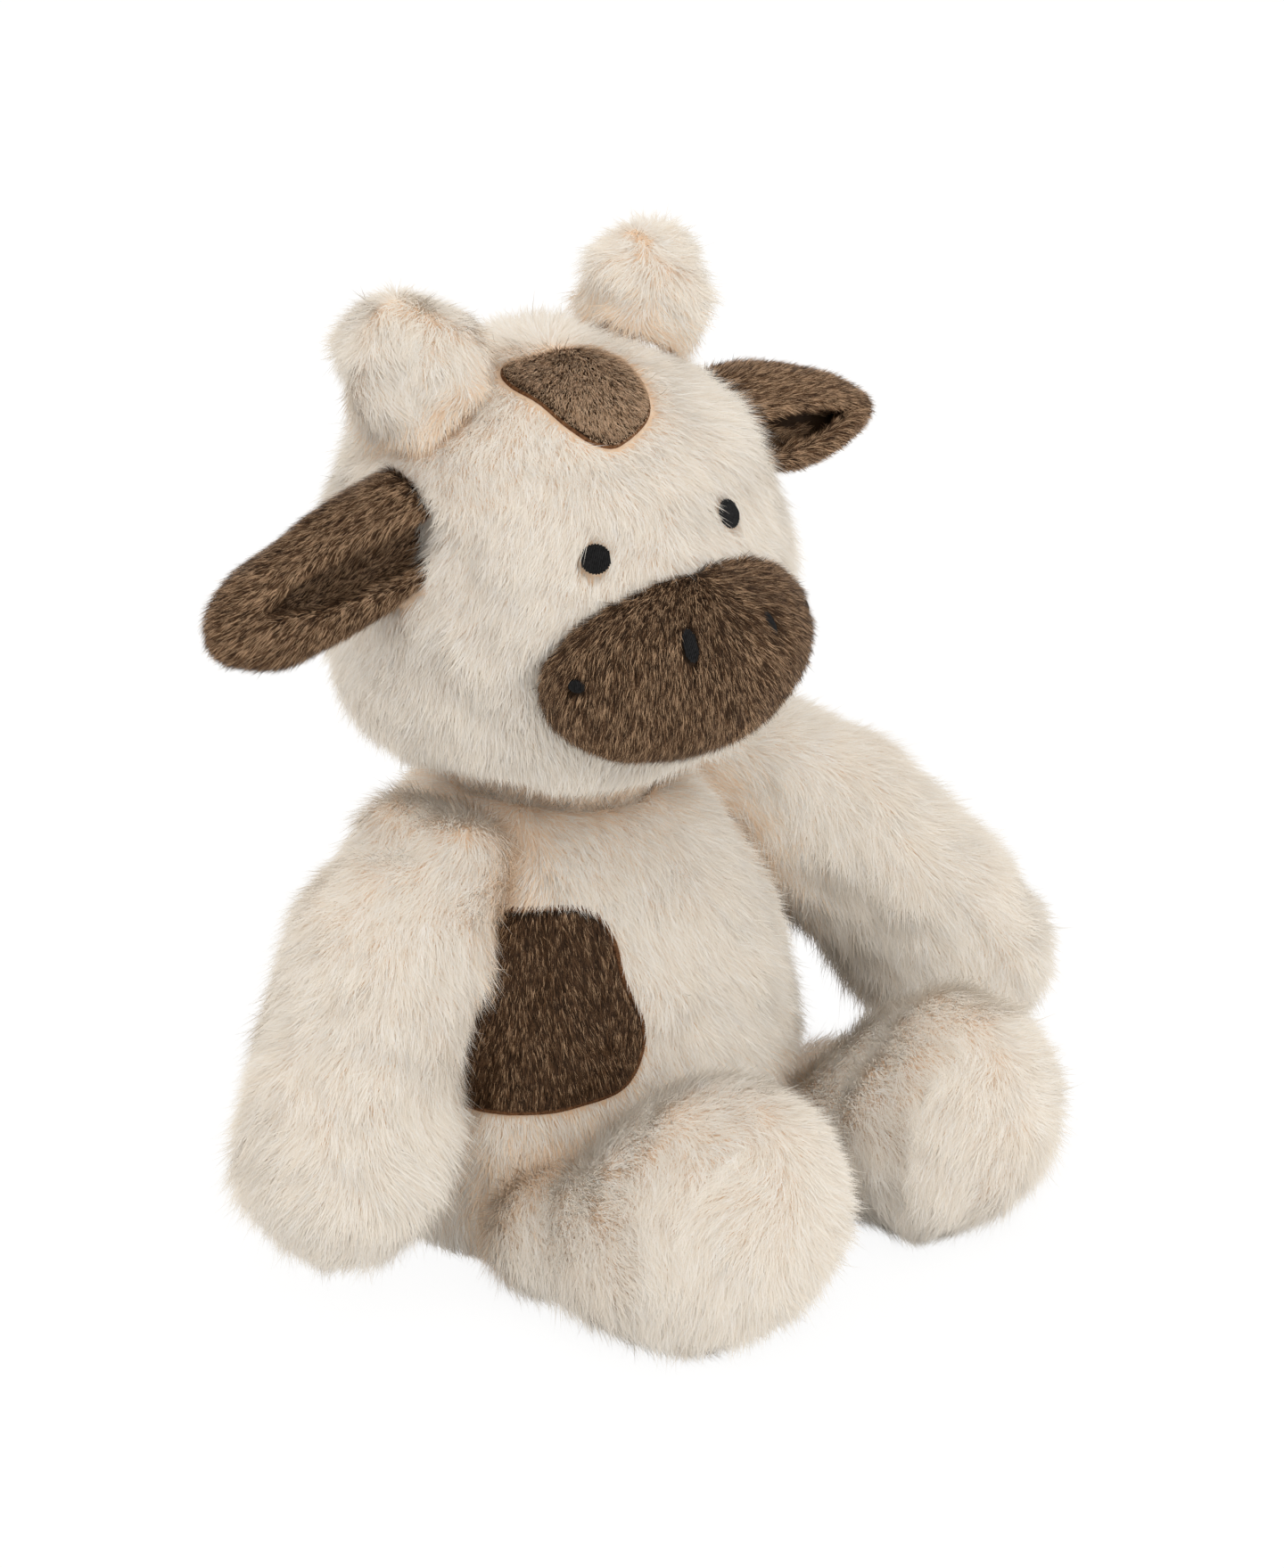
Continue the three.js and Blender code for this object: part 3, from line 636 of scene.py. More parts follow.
def mixed(values, corners, weights):
    """Values at vertices, taken to places inside triangles"""
    taken = values[corners]
    return np.sum(taken * (weights[..., None] if taken.ndim == 3 else weights), axis=1)


def slope_of_noise(places, ways, size, channel):
    """Which way soft noise rises at each place, along two given ways"""
    rise = np.zeros_like(places)
    for way in ways:
        ahead = soft_noise(places + way * (size / 4), size, channel)
        behind = soft_noise(places - way * (size / 4), size, channel)
        rise += way * ((ahead - behind) / 2)[:, None]
    return rise


def strands_on(skin, pile, comb, room, painted_shade, seed):
    """Points along each strand, the normal at its root, the one that it is shaded by, and its share of
    painted shade
    """
    corners, weights, rng = scatter(skin, pile.density, seed, room)
    roots = mixed(skin.points, corners, weights)
    normals = unit(mixed(skin.normals, corners, weights))
    flow = unit(tangent(comb(roots, normals), normals))
    across = np.cross(normals, flow)
    swirl = SWIRL_SHARES[0] * soft_noise(roots, pile.swirl_size, 1)
    swirl = pile.swirl * (swirl + SWIRL_SHARES[1] * soft_noise(roots, pile.swirl_size / 3, 2))
    flow = flow * np.cos(swirl)[:, None] + across * np.sin(swirl)[:, None]
    across = np.cross(normals, flow)
    pull = slope_of_noise(roots, (flow, across), pile.clump_size, 3)
    tufts = slope_of_noise(roots, (flow, across), pile.clump_size * TUFT_SCALE, 10)
    count = len(roots)
    own_room = mixed(room, corners, weights)
    length = pile.length * (1 + pile.patchy * soft_noise(roots, pile.swirl_size, 4))
    length = length * rng.uniform(*LENGTH_RANGE, count) * own_room
    stands = pile.rise * (1 + RISE_UNEVENNESS * soft_noise(roots, pile.swirl_size / 2, 5))
    stands = np.clip(stands * rng.uniform(*RISE_RANGE, count), *RISE_LIMITS)
    stands = stands * (PRESSED_SHARE + (1 - PRESSED_SHARE) * own_room)
    lies = np.sqrt(1 - stands * stands)
    loose = rng.normal(0, pile.fuzz, (count, 3))
    points = np.empty((count, len(STRAND_STEPS), 3))
    for k, s in enumerate(STRAND_STEPS):
        up = stands * ((1 + STRAND_BEND) * s - STRAND_BEND * s * s)
        along = lies * ((1 - STRAND_BEND) * s + STRAND_BEND * s * s)
        offset = normals * up[:, None] + flow * along[:, None]
        offset += pull * (pile.clump * s * s) + loose * (s * s)
        points[:, k] = roots + offset * length[:, None]
    points[:, :, 2] = np.maximum(points[:, :, 2], FLOOR_GAP * (1 + STRAND_STEPS))
    lit = unit(normals - pull * CLUMP_LIGHT - tufts * TUFT_LIGHT - DOWN * pile.lift)
    return points, normals, lit, mixed(painted_shade, corners, weights), rng


def strand_pieces(name, skin, points, normals, lit, painted_shade_share, rng, width, look, shares):
    """Tapered strands. Shares say how many of them have each tone after the first.
    Strands side by side tend to share a tone, and those in a seam or an ear's fold take a tone of painted
    shade."""
    materials, slot, painted_shade_tone, streak_size = look
    count = len(points)
    if count == 0:
        return
    along = unit(points[:, -1] - points[:, 0])
    broad = unit(np.cross(along, normals))
    level = np.cross(broad, along)
    twist = rng.uniform(-MOST_TWIST, MOST_TWIST, count)
    broad = broad * np.cos(twist)[:, None] + level * np.sin(twist)[:, None]
    half = broad[:, None] * (STRAND_WIDTHS[None, :, None] * width / 2)
    half = half * rng.uniform(*WIDTH_RANGE, (count, 1, 1))
    vertices = np.empty((count, STRAND_CORNERS, 3))
    vertices[:, 0:4:2] = points[:, :2] - half
    vertices[:, 1:4:2] = points[:, :2] + half
    vertices[:, 4] = points[:, 2]
    facing = unit(np.cross(broad, along))
    shaded = unit(lit * LIT_SHARE + facing * (1 - LIT_SHARE))
    shaded = np.repeat(shaded[:, None], STRAND_CORNERS, axis=1)
    streaks = soft_noise(points[:, 0], streak_size, 9) * STREAK_SHARE + rng.uniform(-1, 1, count)
    rank = np.argsort(np.argsort(streaks)) / count
    tone = np.searchsorted(np.cumsum(shares) / np.sum(shares), rank) + 1
    # Strands in a seam or an ear's fold take the tone of painted shade
    tone = np.where(rng.uniform(0, 1, count) < painted_shade_share, painted_shade_tone, tone)
    # Each strand's root takes the first tone, for cream a painted shade deep in the pile
    index = np.zeros((count, 3), np.int32)
    index[:, 1:] = tone[:, None]
    for part, start in enumerate(range(0, count, MOST_STRANDS)):
        block = slice(start, min(start + MOST_STRANDS, count))
        size = block.stop - block.start
        faces = STRAND_TRIANGLES[None] + STRAND_CORNERS * np.arange(size)[:, None, None]
        piece = mesh_object(
            f"{name}_{part + 1}",
            vertices[block].reshape(-1, 3),
            faces.reshape(-1, 3),
            materials,
            index[block].ravel(),
            shaded[block].reshape(-1, 3),
        )
        piece.visible_shadow = slot != CREAM
        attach(piece, skin.body)


def shortened(points, shares):
    return points[:, :1] + (points - points[:, :1]) * shares[:, None, None]


def in_spot(points, spot):
    """Which points stand over an embroidered oval: its middle, its three directions and its half sizes"""
    offset = points - spot["middle"]
    flat = np.hypot(offset @ spot["side"] / spot["half"][0], offset @ spot["up"] / spot["half"][1])
    return (flat < 1) & (np.abs(offset @ spot["normal"]) < SPOT_REACH)


def cleared(points, spots):
    """Strands cut short where they would cross an embroidered oval, and which of them stay"""
    keep = np.ones(len(points), bool)
    for spot in spots:
        keep &= ~in_spot(points[:, 0], spot)
        for _ in range(CUT_ROUNDS):
            crossing = in_spot(points[:, 1:], spot).any(axis=1)
            points = shortened(points, np.where(crossing, CUT_SHARE, 1.0))
    return points, keep


# Patches and embroidery

def outline_of(shares, size):
    """A smooth closed outline through shares of a size, evenly spaced"""
    knots = np.array(shares) * size
    fine = []
    for i in range(len(knots)):
        p0, p1, p2, p3 = (knots[(i + k - 1) % len(knots)] for k in range(4))
        for t in np.linspace(0, 1, OUTLINE_STEPS, endpoint=False):
            a = 2 * p1 + (p2 - p0) * t + (2 * p0 - 5 * p1 + 4 * p2 - p3) * t * t
            fine.append((a + (3 * p1 - p0 - 3 * p2 + p3) * t ** 3) / 2)
    fine = np.array(fine)
    closed = np.vstack([fine, fine[:1]])
    run = np.concatenate([[0], np.cumsum(np.linalg.norm(np.diff(closed, axis=0), axis=1))])
    at = np.linspace(0, run[-1], OUTLINE_POINTS, endpoint=False)
    return np.stack([np.interp(at, run, closed[:, 0]), np.interp(at, run, closed[:, 1])], axis=1)


def distance_inside(flat, outline):
    """How far each flat point lies inside a closed outline, below zero outside it"""
    start, end = outline, np.roll(outline, -1, axis=0)
    run = end - start
    inside = np.zeros(len(flat), bool)
    nearest = np.full(len(flat), np.inf)
    for (x0, y0), (_, y1), (dx, dy) in zip(start, end, run):
        crosses = (y0 > flat[:, 1]) != (y1 > flat[:, 1])
        level = x0 + (flat[:, 1] - y0) * (dx / dy if abs(dy) > TINY else 0)
        inside ^= crosses & (flat[:, 0] < level)
        t = np.clip(((flat[:, 0] - x0) * dx + (flat[:, 1] - y0) * dy) / (dx * dx + dy * dy), 0, 1)
        gap = np.hypot(flat[:, 0] - x0 - t * dx, flat[:, 1] - y0 - t * dy)
        nearest = np.minimum(nearest, gap)
    return np.where(inside, nearest, -nearest)


class Patch:
    """A patch sewn on a skin: its outline is drawn in the X and Z of its own frame and seen along its +Y"""

    def __init__(self, name, skin, place, shares, size):
        self.name = name
        self.skin = skin
        self.place = place
        self.outline = outline_of(shares, size)
        self.reach = size * PATCH_REACH

    def depth_inside(self, points):
        back_to_plane = np.array(self.place.inverted())
        local = (back_to_plane[:3, :3] @ points.T).T + back_to_plane[:3, 3]
        inside = distance_inside(local[:, [0, 2]], self.outline)
        return np.where(local[:, 1] < 0, inside, -self.reach)

    def on_skin(self, x, z, proud=0.0):
        """The place on the skin behind a point of the outline's plane, raised by proud, and its normal"""
        start = self.place @ Vector((x, -self.reach, z))
        way = self.place.to_3x3() @ Vector((0, 1, 0))
        spot, normal, _, _ = self.skin.tree.ray_cast(start, way)
        if spot is None:
            spot, normal = self.skin.nearest(self.place @ Vector((x, 0, z)))
        return spot + normal * proud, normal

    def cloth(self, node):
        """The patch itself: rings of its outline on the skin, with the outermost one turned down"""
        middle = self.outline.mean(axis=0)
        vertices = []
        for ring in range(PATCH_RINGS + 1):
            share = ring / PATCH_RINGS
            proud = PATCH_THICKNESS if ring < PATCH_RINGS else 0.0
            for x, z in middle + (self.outline - middle) * max(share, LEAST_RING):
                vertices.append(self.on_skin(x, z, proud)[0])
        faces = grid_faces(PATCH_RINGS + 1, len(self.outline), around=True)
        sewn_piece(self.name, vertices, faces, brown_look, self.skin, node)

    def border(self, node, share):
        """A satin-stitched border: a low ridge of slanted stitches along the outline"""
        wide = STITCH_WIDTH * share
        tall = STITCH_HEIGHT * share
        perimeter = np.linalg.norm(self.outline - np.roll(self.outline, 1, axis=0), axis=1).sum()
        stations = 2 * int(perimeter / STITCH_PITCH)
        at = np.linspace(0, len(self.outline), stations, endpoint=False)
        closed = np.vstack([self.outline, self.outline[:1]])
        knots = np.arange(len(closed))
        path = np.stack([np.interp(at, knots, closed[:, 0]), np.interp(at, knots, closed[:, 1])], axis=1)
        ahead = unit(np.roll(path, -3, axis=0) - np.roll(path, 3, axis=0))
        turned = np.sum(path[:, 0] * np.roll(path[:, 1], -1) - path[:, 1] * np.roll(path[:, 0], -1))
        outward = np.stack([ahead[:, 1], -ahead[:, 0]], axis=1) * np.sign(turned)
        vertices = []
        for i in range(stations):
            high = tall if i % 2 else tall * LOW_STITCH_SHARE
            slant = ahead[i] * STITCH_PITCH * STITCH_SLANT
            for side, height in STITCH_PROFILE:
                flat = path[i] + outward[i] * (wide * (side + 0.5) - STITCH_LAP) + slant * side
                vertices.append(self.on_skin(flat[0], flat[1], high * height)[0])
        faces = grid_faces(stations, len(STITCH_PROFILE), closed=True)
        sewn_piece(self.name + "_edge", vertices, faces, rust_look, self.skin, node)


def embroidery(node, skin, half, proud, shift):
    """An embroidered oval of parallel threads on a skin. Returns the oval that the pile keeps clear of."""
    spot, normal = skin.nearest(middle_of(node) + head_frame.to_3x3() @ Vector(shift))
    normal = normal.normalized()
    upright = head_frame.to_3x3() @ Vector((0, 0, 1))
    up = (upright - normal * upright.dot(normal)).normalized()
    side = up.cross(normal)
    threads = int(2 * half[0] / THREAD)
    grid = np.array(grid_faces(THREAD_STEPS + 1, len(THREAD_ARCH)))
    vertices, faces = [], []
    for thread in range(threads):
        x = (thread + 0.5 - threads / 2) * THREAD
        reach = half[1] * math.sqrt(max(1 - (x / half[0]) ** 2, LEAST_THREAD))
        reach = reach * (1 - SHORT_THREAD * (thread % 2))
        faces += (grid + len(vertices)).tolist()
        for i in range(THREAD_STEPS + 1):
            y = -math.cos(math.pi * i / THREAD_STEPS) * reach
            level = EYE_DOME * (1 - (x / half[0]) ** 2 * DOME_FALL - (y / half[1]) ** 2 * DOME_FALL)
            thin = math.sqrt(max(1 - (y / reach) ** THREAD_BLUNTNESS, LEAST_END))
            for sideways, height in THREAD_ARCH:
                place = side * (x + sideways * THREAD * THREAD_OVERLAP) + up * y
                place += normal * (level + height * THREAD_HEIGHT * thin + proud)
                vertices.append(spot + place)
    sewn_piece(f"{node}_thread", vertices, faces, black_look, skin, node)
    return {
        "middle": np.array(spot),
        "normal": np.array(normal),
        "side": np.array(side),
        "up": np.array(up),
        "half": [size + CLEARING for size in half],
    }


# Stuffed skins

def soft_lumps(points, normals):
    """Low swells, as loosely filled cloth has, and the smaller ones of thick pile"""
    swell = SAG_DEPTH * soft_noise(points, SAG_SIZE, 6) + TUSSOCK_DEPTH * soft_noise(points, TUSSOCK_SIZE, 7)
    return points + normals * swell[:, None]


def swelled(points, normals, swells):
    """Points of a skin after its swells and dents"""
    for place, reach, height in swells:
        distance = np.linalg.norm(points - np.array(place), axis=1)
        points = points + normals * (height * np.exp(-((distance / reach) ** 2)))[:, None]
    return points


def lumps_and(swells):
    return lambda points, normals: swelled(soft_lumps(points, normals), normals, swells)


def torso_shape(points, normals):
    """The belly swells between the arm and the thigh, and the top rises round the neck"""
    points = swelled(soft_lumps(points, normals), normals, TORSO_SWELLS)
    near_top = 1 / (1 + np.exp(-(points[:, 2] - COLLAR_HEIGHT) / (COLLAR_REACH / 4)))
    points[:, 2] += COLLAR_RISE * near_top
    return points


def arm_shape(points, normals):
    """Low folds across the arm, where it sags"""
    folds = FOLD_DEPTH * soft_noise(points * FOLD_STRETCH, FOLD_SIZE, 12)
    return soft_lumps(points, normals) + normals * folds[:, None]


def horn_shape(side):
    """A knob that widens where it is sewn on, with the uneven swells of thick pile"""
    axis = np.array((middle_of(f"horn_{side}") - head_middle).normalized())
    centre = np.array(head_middle)

    def shape(points, normals):
        height = (points - centre) @ axis
        foot = centre + height[:, None] * axis
        near_foot = np.exp(-(((height - HORN_FOOT) / HORN_FOOT_REACH) ** 2))
        swell = HORN_SLIMMING[side] + HORN_FOOT_SWELL * near_foot
        points = foot + (points - foot) * swell[:, None]
        return points + normals * (LUMP_DEPTH * soft_noise(points, LUMP_SIZE, 8))[:, None]

    return shape


def routed(route, share):
    """A place on a smooth route through three places, and the way it runs there"""
    start, middle, end = route
    bend = middle * 2 - (start + end) / 2
    place = start * (1 - share) ** 2 + bend * (2 * share * (1 - share)) + end * share ** 2
    way = (bend - start) * (1 - share) + (end - bend) * share
    return place, way.normalized()


def folded_ear(side):
    """A leaf of thick cloth folded lengthwise, so that its two edges leave an almond-shaped opening"""
    mirror = Vector((1 if side == "left" else -1, 1, 1))
    root, tip, across = (Vector(v) * mirror for v in (EAR_ROOT, EAR_TIPS[side], EAR_ACROSS))
    middle = (root + tip) / 2 + Vector((0, 0, EAR_ARCH))
    vertices = []
    for ring in range(EAR_RINGS + 1):
        share = ring / EAR_RINGS
        centre, way = routed((root, middle, tip), share)
        wide = (across - way * across.dot(way)).normalized()
        front = wide.cross(way)
        front *= 1 if front.y < 0 else -1
        dome = math.sqrt(max(1 - share ** EAR_BLUNTNESS, 0)) if ring else 0
        half_width = np.interp(share, EAR_STATIONS, EAR_WIDTHS[side]) * EAR_WIDTH * dome
        half_thick = np.interp(share, EAR_STATIONS, EAR_THICKS) * EAR_THICKNESS * dome
        gape = math.radians(np.interp(share, EAR_STATIONS, EAR_GAPES))
        wall = np.interp(share, EAR_STATIONS, EAR_WALLS)
        start = math.radians(np.interp(share, EAR_STATIONS, EAR_OPENINGS) + EAR_OPENING_SHIFTS[side])
        angles = np.linspace(start + gape, start + 2 * math.pi - gape, EAR_SIDES)
        for angle, inner in [(a, 1.0) for a in angles] + [(a, 1 - wall) for a in angles[::-1]]:
            out = wide * (math.cos(angle) * half_width) + front * (math.sin(angle) * half_thick)
            vertices.append(head_frame @ (centre + out * inner))
    faces = []
    for a, b, c, d in grid_faces(EAR_RINGS + 1, 2 * EAR_SIDES, around=True):
        faces += [[a, b, c], [a, c, d]]
    return np.array(vertices), np.array(faces)


def cream_skin(name, nodes, body, shape=soft_lumps, voxel=SKIN_VOXEL, rounds=SKIN_ROUNDS, inset=CREAM_INSET):
    return Skin(name, solids_of(nodes), nodes, body, cream_painted_shade_look, voxel, rounds, inset, shape)


def brown_skin(name, nodes, body, voxel=SMALL_VOXEL, rounds=SMALL_ROUNDS, inset=BROWN_INSET):
    return Skin(name, solids_of(nodes), nodes, body, brown_look, voxel, rounds, inset)


def ear_skin(part):
    solid = folded_ear(part.removeprefix("ear_"))
    return Skin(f"{part}_cloth", solid, [part], part, brown_look, SMALL_VOXEL, SMALL_ROUNDS, 0, soft_lumps)


def limb_skin(part, shape):
    return cream_skin(f"{part}_cloth", [f"{part}_skin", f"{part}_stuffing"], part, shape)


torso = cream_skin("torso_cloth", ["torso_skin", "torso_stuffing", "seat_bean_bag"], "torso", torso_shape)
eye_dimples = [(middle_of(f"eye_{side}"), DIMPLE_RADIUS, -DIMPLE_DEPTH) for side in SIDES]
head_shape = lumps_and(HEAD_SWELLS + eye_dimples)
head = cream_skin("head_cloth", ["head_skin", "head_stuffing"], "head", head_shape)
arms = {side: limb_skin(f"arm_{side}", arm_shape) for side in SIDES}
legs = {side: limb_skin(f"leg_{side}", lumps_and(LEG_SWELLS[side])) for side in SIDES}
horns = {
    side: cream_skin(f"horn_{side}_cloth", [f"horn_{side}"], "head", horn_shape(side), rounds=SMALL_ROUNDS)
    for side in SIDES
}
muzzle = brown_skin("muzzle_cloth", ["muzzle"], "head", MUZZLE_VOXEL, SKIN_ROUNDS)
ears = {side: ear_skin(f"ear_{side}") for side in SIDES}
collar = cream_skin("neck_collar", ["neck_gather"], "neck", None, SMALL_VOXEL, COLLAR_ROUNDS, 0)
cord = cream_skin("tail_cloth", ["tail_cord"], "tail", None, SMALL_VOXEL, SMALL_ROUNDS, BROWN_INSET)
tuft = brown_skin("tail_tuft_cloth", ["tail_tuft"], "tail", inset=CREAM_INSET)

# Embroidery

def pair_of(kind, skin, halves, proud, shifts):
    return [embroidery(f"{kind}_{side}", skin, halves[side], proud, shifts[side]) for side in SIDES]


eyes = pair_of("eye", head, EYE_HALVES, CREAM_INSET + EYE_LIFT, EYE_SHIFTS)
nostrils = pair_of("nostril", muzzle, NOSTRIL_HALVES, BROWN_INSET, NOSTRIL_SHIFTS)
mouths = pair_of("mouth_corner", muzzle, MOUTH_HALVES, BROWN_INSET, MOUTH_SHIFTS)

# Patches

def torso_place(rise, degrees):
    return Matrix.Translation(torso_foot + Vector((0, 0, rise))) @ turn(degrees, "Z")


brow_place = head_frame @ turn(BROW_SWING, "Z") @ turn(-BROW_LEAN, "X")
brow = Patch("brow_patch_cloth", head, brow_place, BROW_SHARES, BROW_SIZE)
right_place = torso_place(RIGHT_RISE, RIGHT_TURN)
right_patch = Patch("side_patch_right_cloth", torso, right_place, RIGHT_SHARES, RIGHT_SIZE)
left_place = torso_place(LEFT_RISE, LEFT_TURN)
left_patch = Patch("side_patch_left_cloth", torso, left_place, LEFT_SHARES, LEFT_SIZE)
patches = {"brow_patch": brow, "side_patch_right": right_patch, "side_patch_left": left_patch}
for node, patch in patches.items():
    patch.cloth(node)
    patch.border(f"{node}_stitching", BROW_STITCH_SHARE if patch is brow else 1)

# How the pile is combed

def spreading(middle, stretch, spread):
    """Down, and away from a middle"""
    return lambda points, normals: DOWN + unit((points - np.array(middle)) * stretch) * spread


head_comb = spreading(head_middle, HEAD_STRETCH, HEAD_SPREAD)
muzzle_comb = spreading(middle_of("muzzle"), MUZZLE_STRETCH, MUZZLE_SPREAD)


def torso_comb(points, normals):
    return np.broadcast_to(DOWN, points.shape)


def along_limb(start, end):
    way = np.array((end - start).normalized())
    return lambda points, normals: np.broadcast_to(way, points.shape) + DOWN * LIMB_DROOP


def arm_comb(side):
    """Away from the neck at the shoulder, then along the arm"""
    way = along_limb(shoulders[side], middle_of(f"arm_{side}_skin") + ARM_DROP)

    def comb(points, normals):
        away = unit((points - np.array(neck)) * LEVEL)
        distance = np.linalg.norm(points - np.array(shoulders[side]), axis=1)
        near = np.exp(-((distance / SHOULDER_REACH) ** 2))
        return way(points, normals) + away * (SHOULDER_PULL * near)[:, None]

    return comb


def foot_comb(side):
    """Down the leg, and away from the middle of the sole on its front"""
    low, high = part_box(f"leg_{side}_skin")
    sole = np.array([(low.x + high.x) / 2, low.y, (low.z + high.z) / 2])
    hip_place = np.array(hips[side])

    def comb(points, normals):
        away = (points - sole) / np.maximum(np.linalg.norm(points - sole, axis=1), WHORL_REACH)[:, None]
        away = away * FOOT_SPREAD + DOWN
        front = np.clip(-normals[:, 1] * FOOT_FRONT, 0, 1)[:, None]
        down_leg = unit(sole - hip_place)[None] + DOWN * LEG_DROOP
        return away * front + down_leg * (1 - front)

    return comb


def cream_pile(length, density=CREAM_PER_AREA, **ways):
    return pile_of(length, CREAM_WIDTH, density, **ways)


def limb_pile(**ways):
    return cream_pile(LIMB_PILE, rise=0.48, clump=0.32, clump_size=LIMB_CLUMP, **ways)


def brown_pile(length, **ways):
    brown_ways = {"clump": 0.2, "clump_size": BROWN_CLUMP, "swirl": 0.4, "fuzz": 0.14, **ways}
    return pile_of(length, BROWN_WIDTH, BROWN_PER_AREA, **brown_ways)


head_pile = cream_pile(HEAD_PILE)
body_pile = cream_pile(BODY_PILE, seam_share=0.85, lift=0.1)
arm_pile = limb_pile(swirl=1.1, seam_share=0.85, lift=0.15)
leg_pile = limb_pile(swirl=1.3, seam_share=0.9, lift=0.4)
horn_ways = {"clump": 0.4, "clump_size": HORN_CLUMP, "patchy": 0.3, "swirl": 2.2, "swirl_size": HORN_SWIRL}
horn_pile = cream_pile(HORN_PILE, HORN_PER_AREA, seam_share=0.5, **horn_ways)
muzzle_pile = brown_pile(BROWN_PILE)
patch_pile = brown_pile(PATCH_PILE)
ear_pile = brown_pile(EAR_PILE, rise=0.42)
cord_pile = cream_pile(TAIL_PILE)
tuft_pile = pile_of(TUFT_PILE, BROWN_WIDTH, BROWN_PER_AREA, rise=0.6, clump=0.6)


def stopped(points, root, tip):
    """Strands cut off where they would cross a border. Root and tip are how far past it their ends lie."""
    inside = np.clip(-root / np.maximum(tip - root, FLOOR_GAP), LEAST_SHARE, 1)
    return shortened(points, np.where(tip > 0, inside, 1))


def cream_fur(name, skin, pile, comb, others, seed, sewn=(), spots=(), shorten=None, pressed=()):
    """Cream pile on a skin, cut short at the patches sewn on it and clear of the embroidered spots"""
    room, painted_shade = room_beside(skin, others, pile.seam_share, pressed)
    if shorten is not None:
        room = room * shorten(skin.points)
    points, normals, lit, painted_shade_share, rng = strands_on(skin, pile, comb, room, painted_shade, seed)
    keep = np.ones(len(points), bool)
    for patch in sewn:
        root = patch.depth_inside(points[:, 0]) + STITCH_WIDTH - STITCH_LAP
        keep &= root < 0
        points = shortened(points, np.clip(TRIMMED_SHARE - root / TRIMMED_REACH, TRIMMED_SHARE, 1))
        points = stopped(points, root, patch.depth_inside(points[:, 2]) + STITCH_WIDTH / 2)
    points, clear = cleared(points, spots)
    keep &= clear
    # Strands near a large skin take the peach tone of painted seam shade
    kept = points[keep], normals[keep], lit[keep], painted_shade_share[keep] * PAINTED_SEAM_SHADE_SHARE
    look = (cream_strands, CREAM, CREAM_PAINTED_SHADE_TONE, CREAM_STREAK)
    strand_pieces(name, skin, *kept, rng, pile.width, look, CREAM_MIX)


def brown_fur(name, skin, pile, comb, others, seed, spots=(), patch=None, mix=BROWN_MIX, shorten=None):
    """Brown pile on a skin, or only on a patch sewn on it, and painted darker as shade where it is shortened
    """
    room, _ = room_beside(skin, others, pile.seam_share)
    if shorten is not None:
        room = room * shorten
    if patch:
        room = room * (patch.depth_inside(skin.points) > -SKIN_VOXEL * 2)
    # Pile inside an ear's fold takes the dark tone as painted shade
    inner = np.zeros(len(room)) if shorten is None else 1 - shorten
    points, normals, lit, painted_shade_share, rng = strands_on(skin, pile, comb, room, inner, seed)
    keep = np.ones(len(points), bool)
    if patch:
        root = -patch.depth_inside(points[:, 0])
        keep &= root < 0
        points = stopped(points, root, -patch.depth_inside(points[:, 2]))
        points = points + normals[:, None] * PATCH_THICKNESS
    points, clear = cleared(points, spots)
    keep &= clear
    kept = points[keep], normals[keep], lit[keep], painted_shade_share[keep] * POCKET_PAINTED_SHADE
    look = (brown_strands, BROWN, BROWN_PAINTED_SHADE_TONE, BROWN_STREAK)
    strand_pieces(name, skin, *kept, rng, pile.width, look, mix)


def pocket_of(skin):
    """1 on the outside of an ear and less inside its fold, where the pile is shorter and painted darker as
    shade
    """
    values = np.ones(len(skin.points))
    for i, (place, normal) in enumerate(zip(skin.points, skin.normals)):
        start = Vector(place) + Vector(normal) * POCKET_START
        hit = skin.tree.ray_cast(start, Vector(normal), POCKET_REACH)[0]
        if hit is not None:
            values[i] = POCKET_SHARE
    return values


def chin_short(points):
    """The pile under the head is pressed short"""
    return np.clip((points[:, 2] - CHIN_HEIGHT) / CHIN_REACH, CHIN_SHARE, 1)


near_head = [muzzle, *horns.values(), *ears.values()]
cream_fur("head_fur", head, head_pile, head_comb, near_head, SEEDS["head"], [brow], eyes, chin_short, [torso])
near_torso = [*arms.values(), *legs.values()]
sewn_on = [right_patch, left_patch]
cream_fur("torso_fur", torso, body_pile, torso_comb, near_torso, SEEDS["torso"], sewn_on, pressed=[head])
cream_fur("collar_fur", collar, cord_pile, torso_comb, [], SEEDS["collar"], pressed=[head, torso])
for i, side in enumerate(SIDES):
    beside_arm = [torso, head, legs[side]]
    beside_leg = [torso, arms[side]]
    horn_comb = spreading(middle_of(f"horn_{side}"), 1, KNOB_SPREAD)
    ear_comb = along_limb(ear_roots[side], middle_of(f"ear_{side}"))
    cream_fur(f"arm_{side}_fur", arms[side], arm_pile, arm_comb(side), beside_arm, SEEDS["arm"] + i)
    cream_fur(f"leg_{side}_fur", legs[side], leg_pile, foot_comb(side), beside_leg, SEEDS["leg"] + i)
    cream_fur(f"horn_{side}_fur", horns[side], horn_pile, horn_comb, [head], SEEDS["horn"] + i)
    ear = ears[side]
    seed = SEEDS["ear"] + i
    brown_fur(f"ear_{side}_fur", ear, ear_pile, ear_comb, [head], seed, mix=EAR_MIX, shorten=pocket_of(ear))
brown_fur("muzzle_fur", muzzle, muzzle_pile, muzzle_comb, [head], SEEDS["muzzle"], nostrils + mouths)
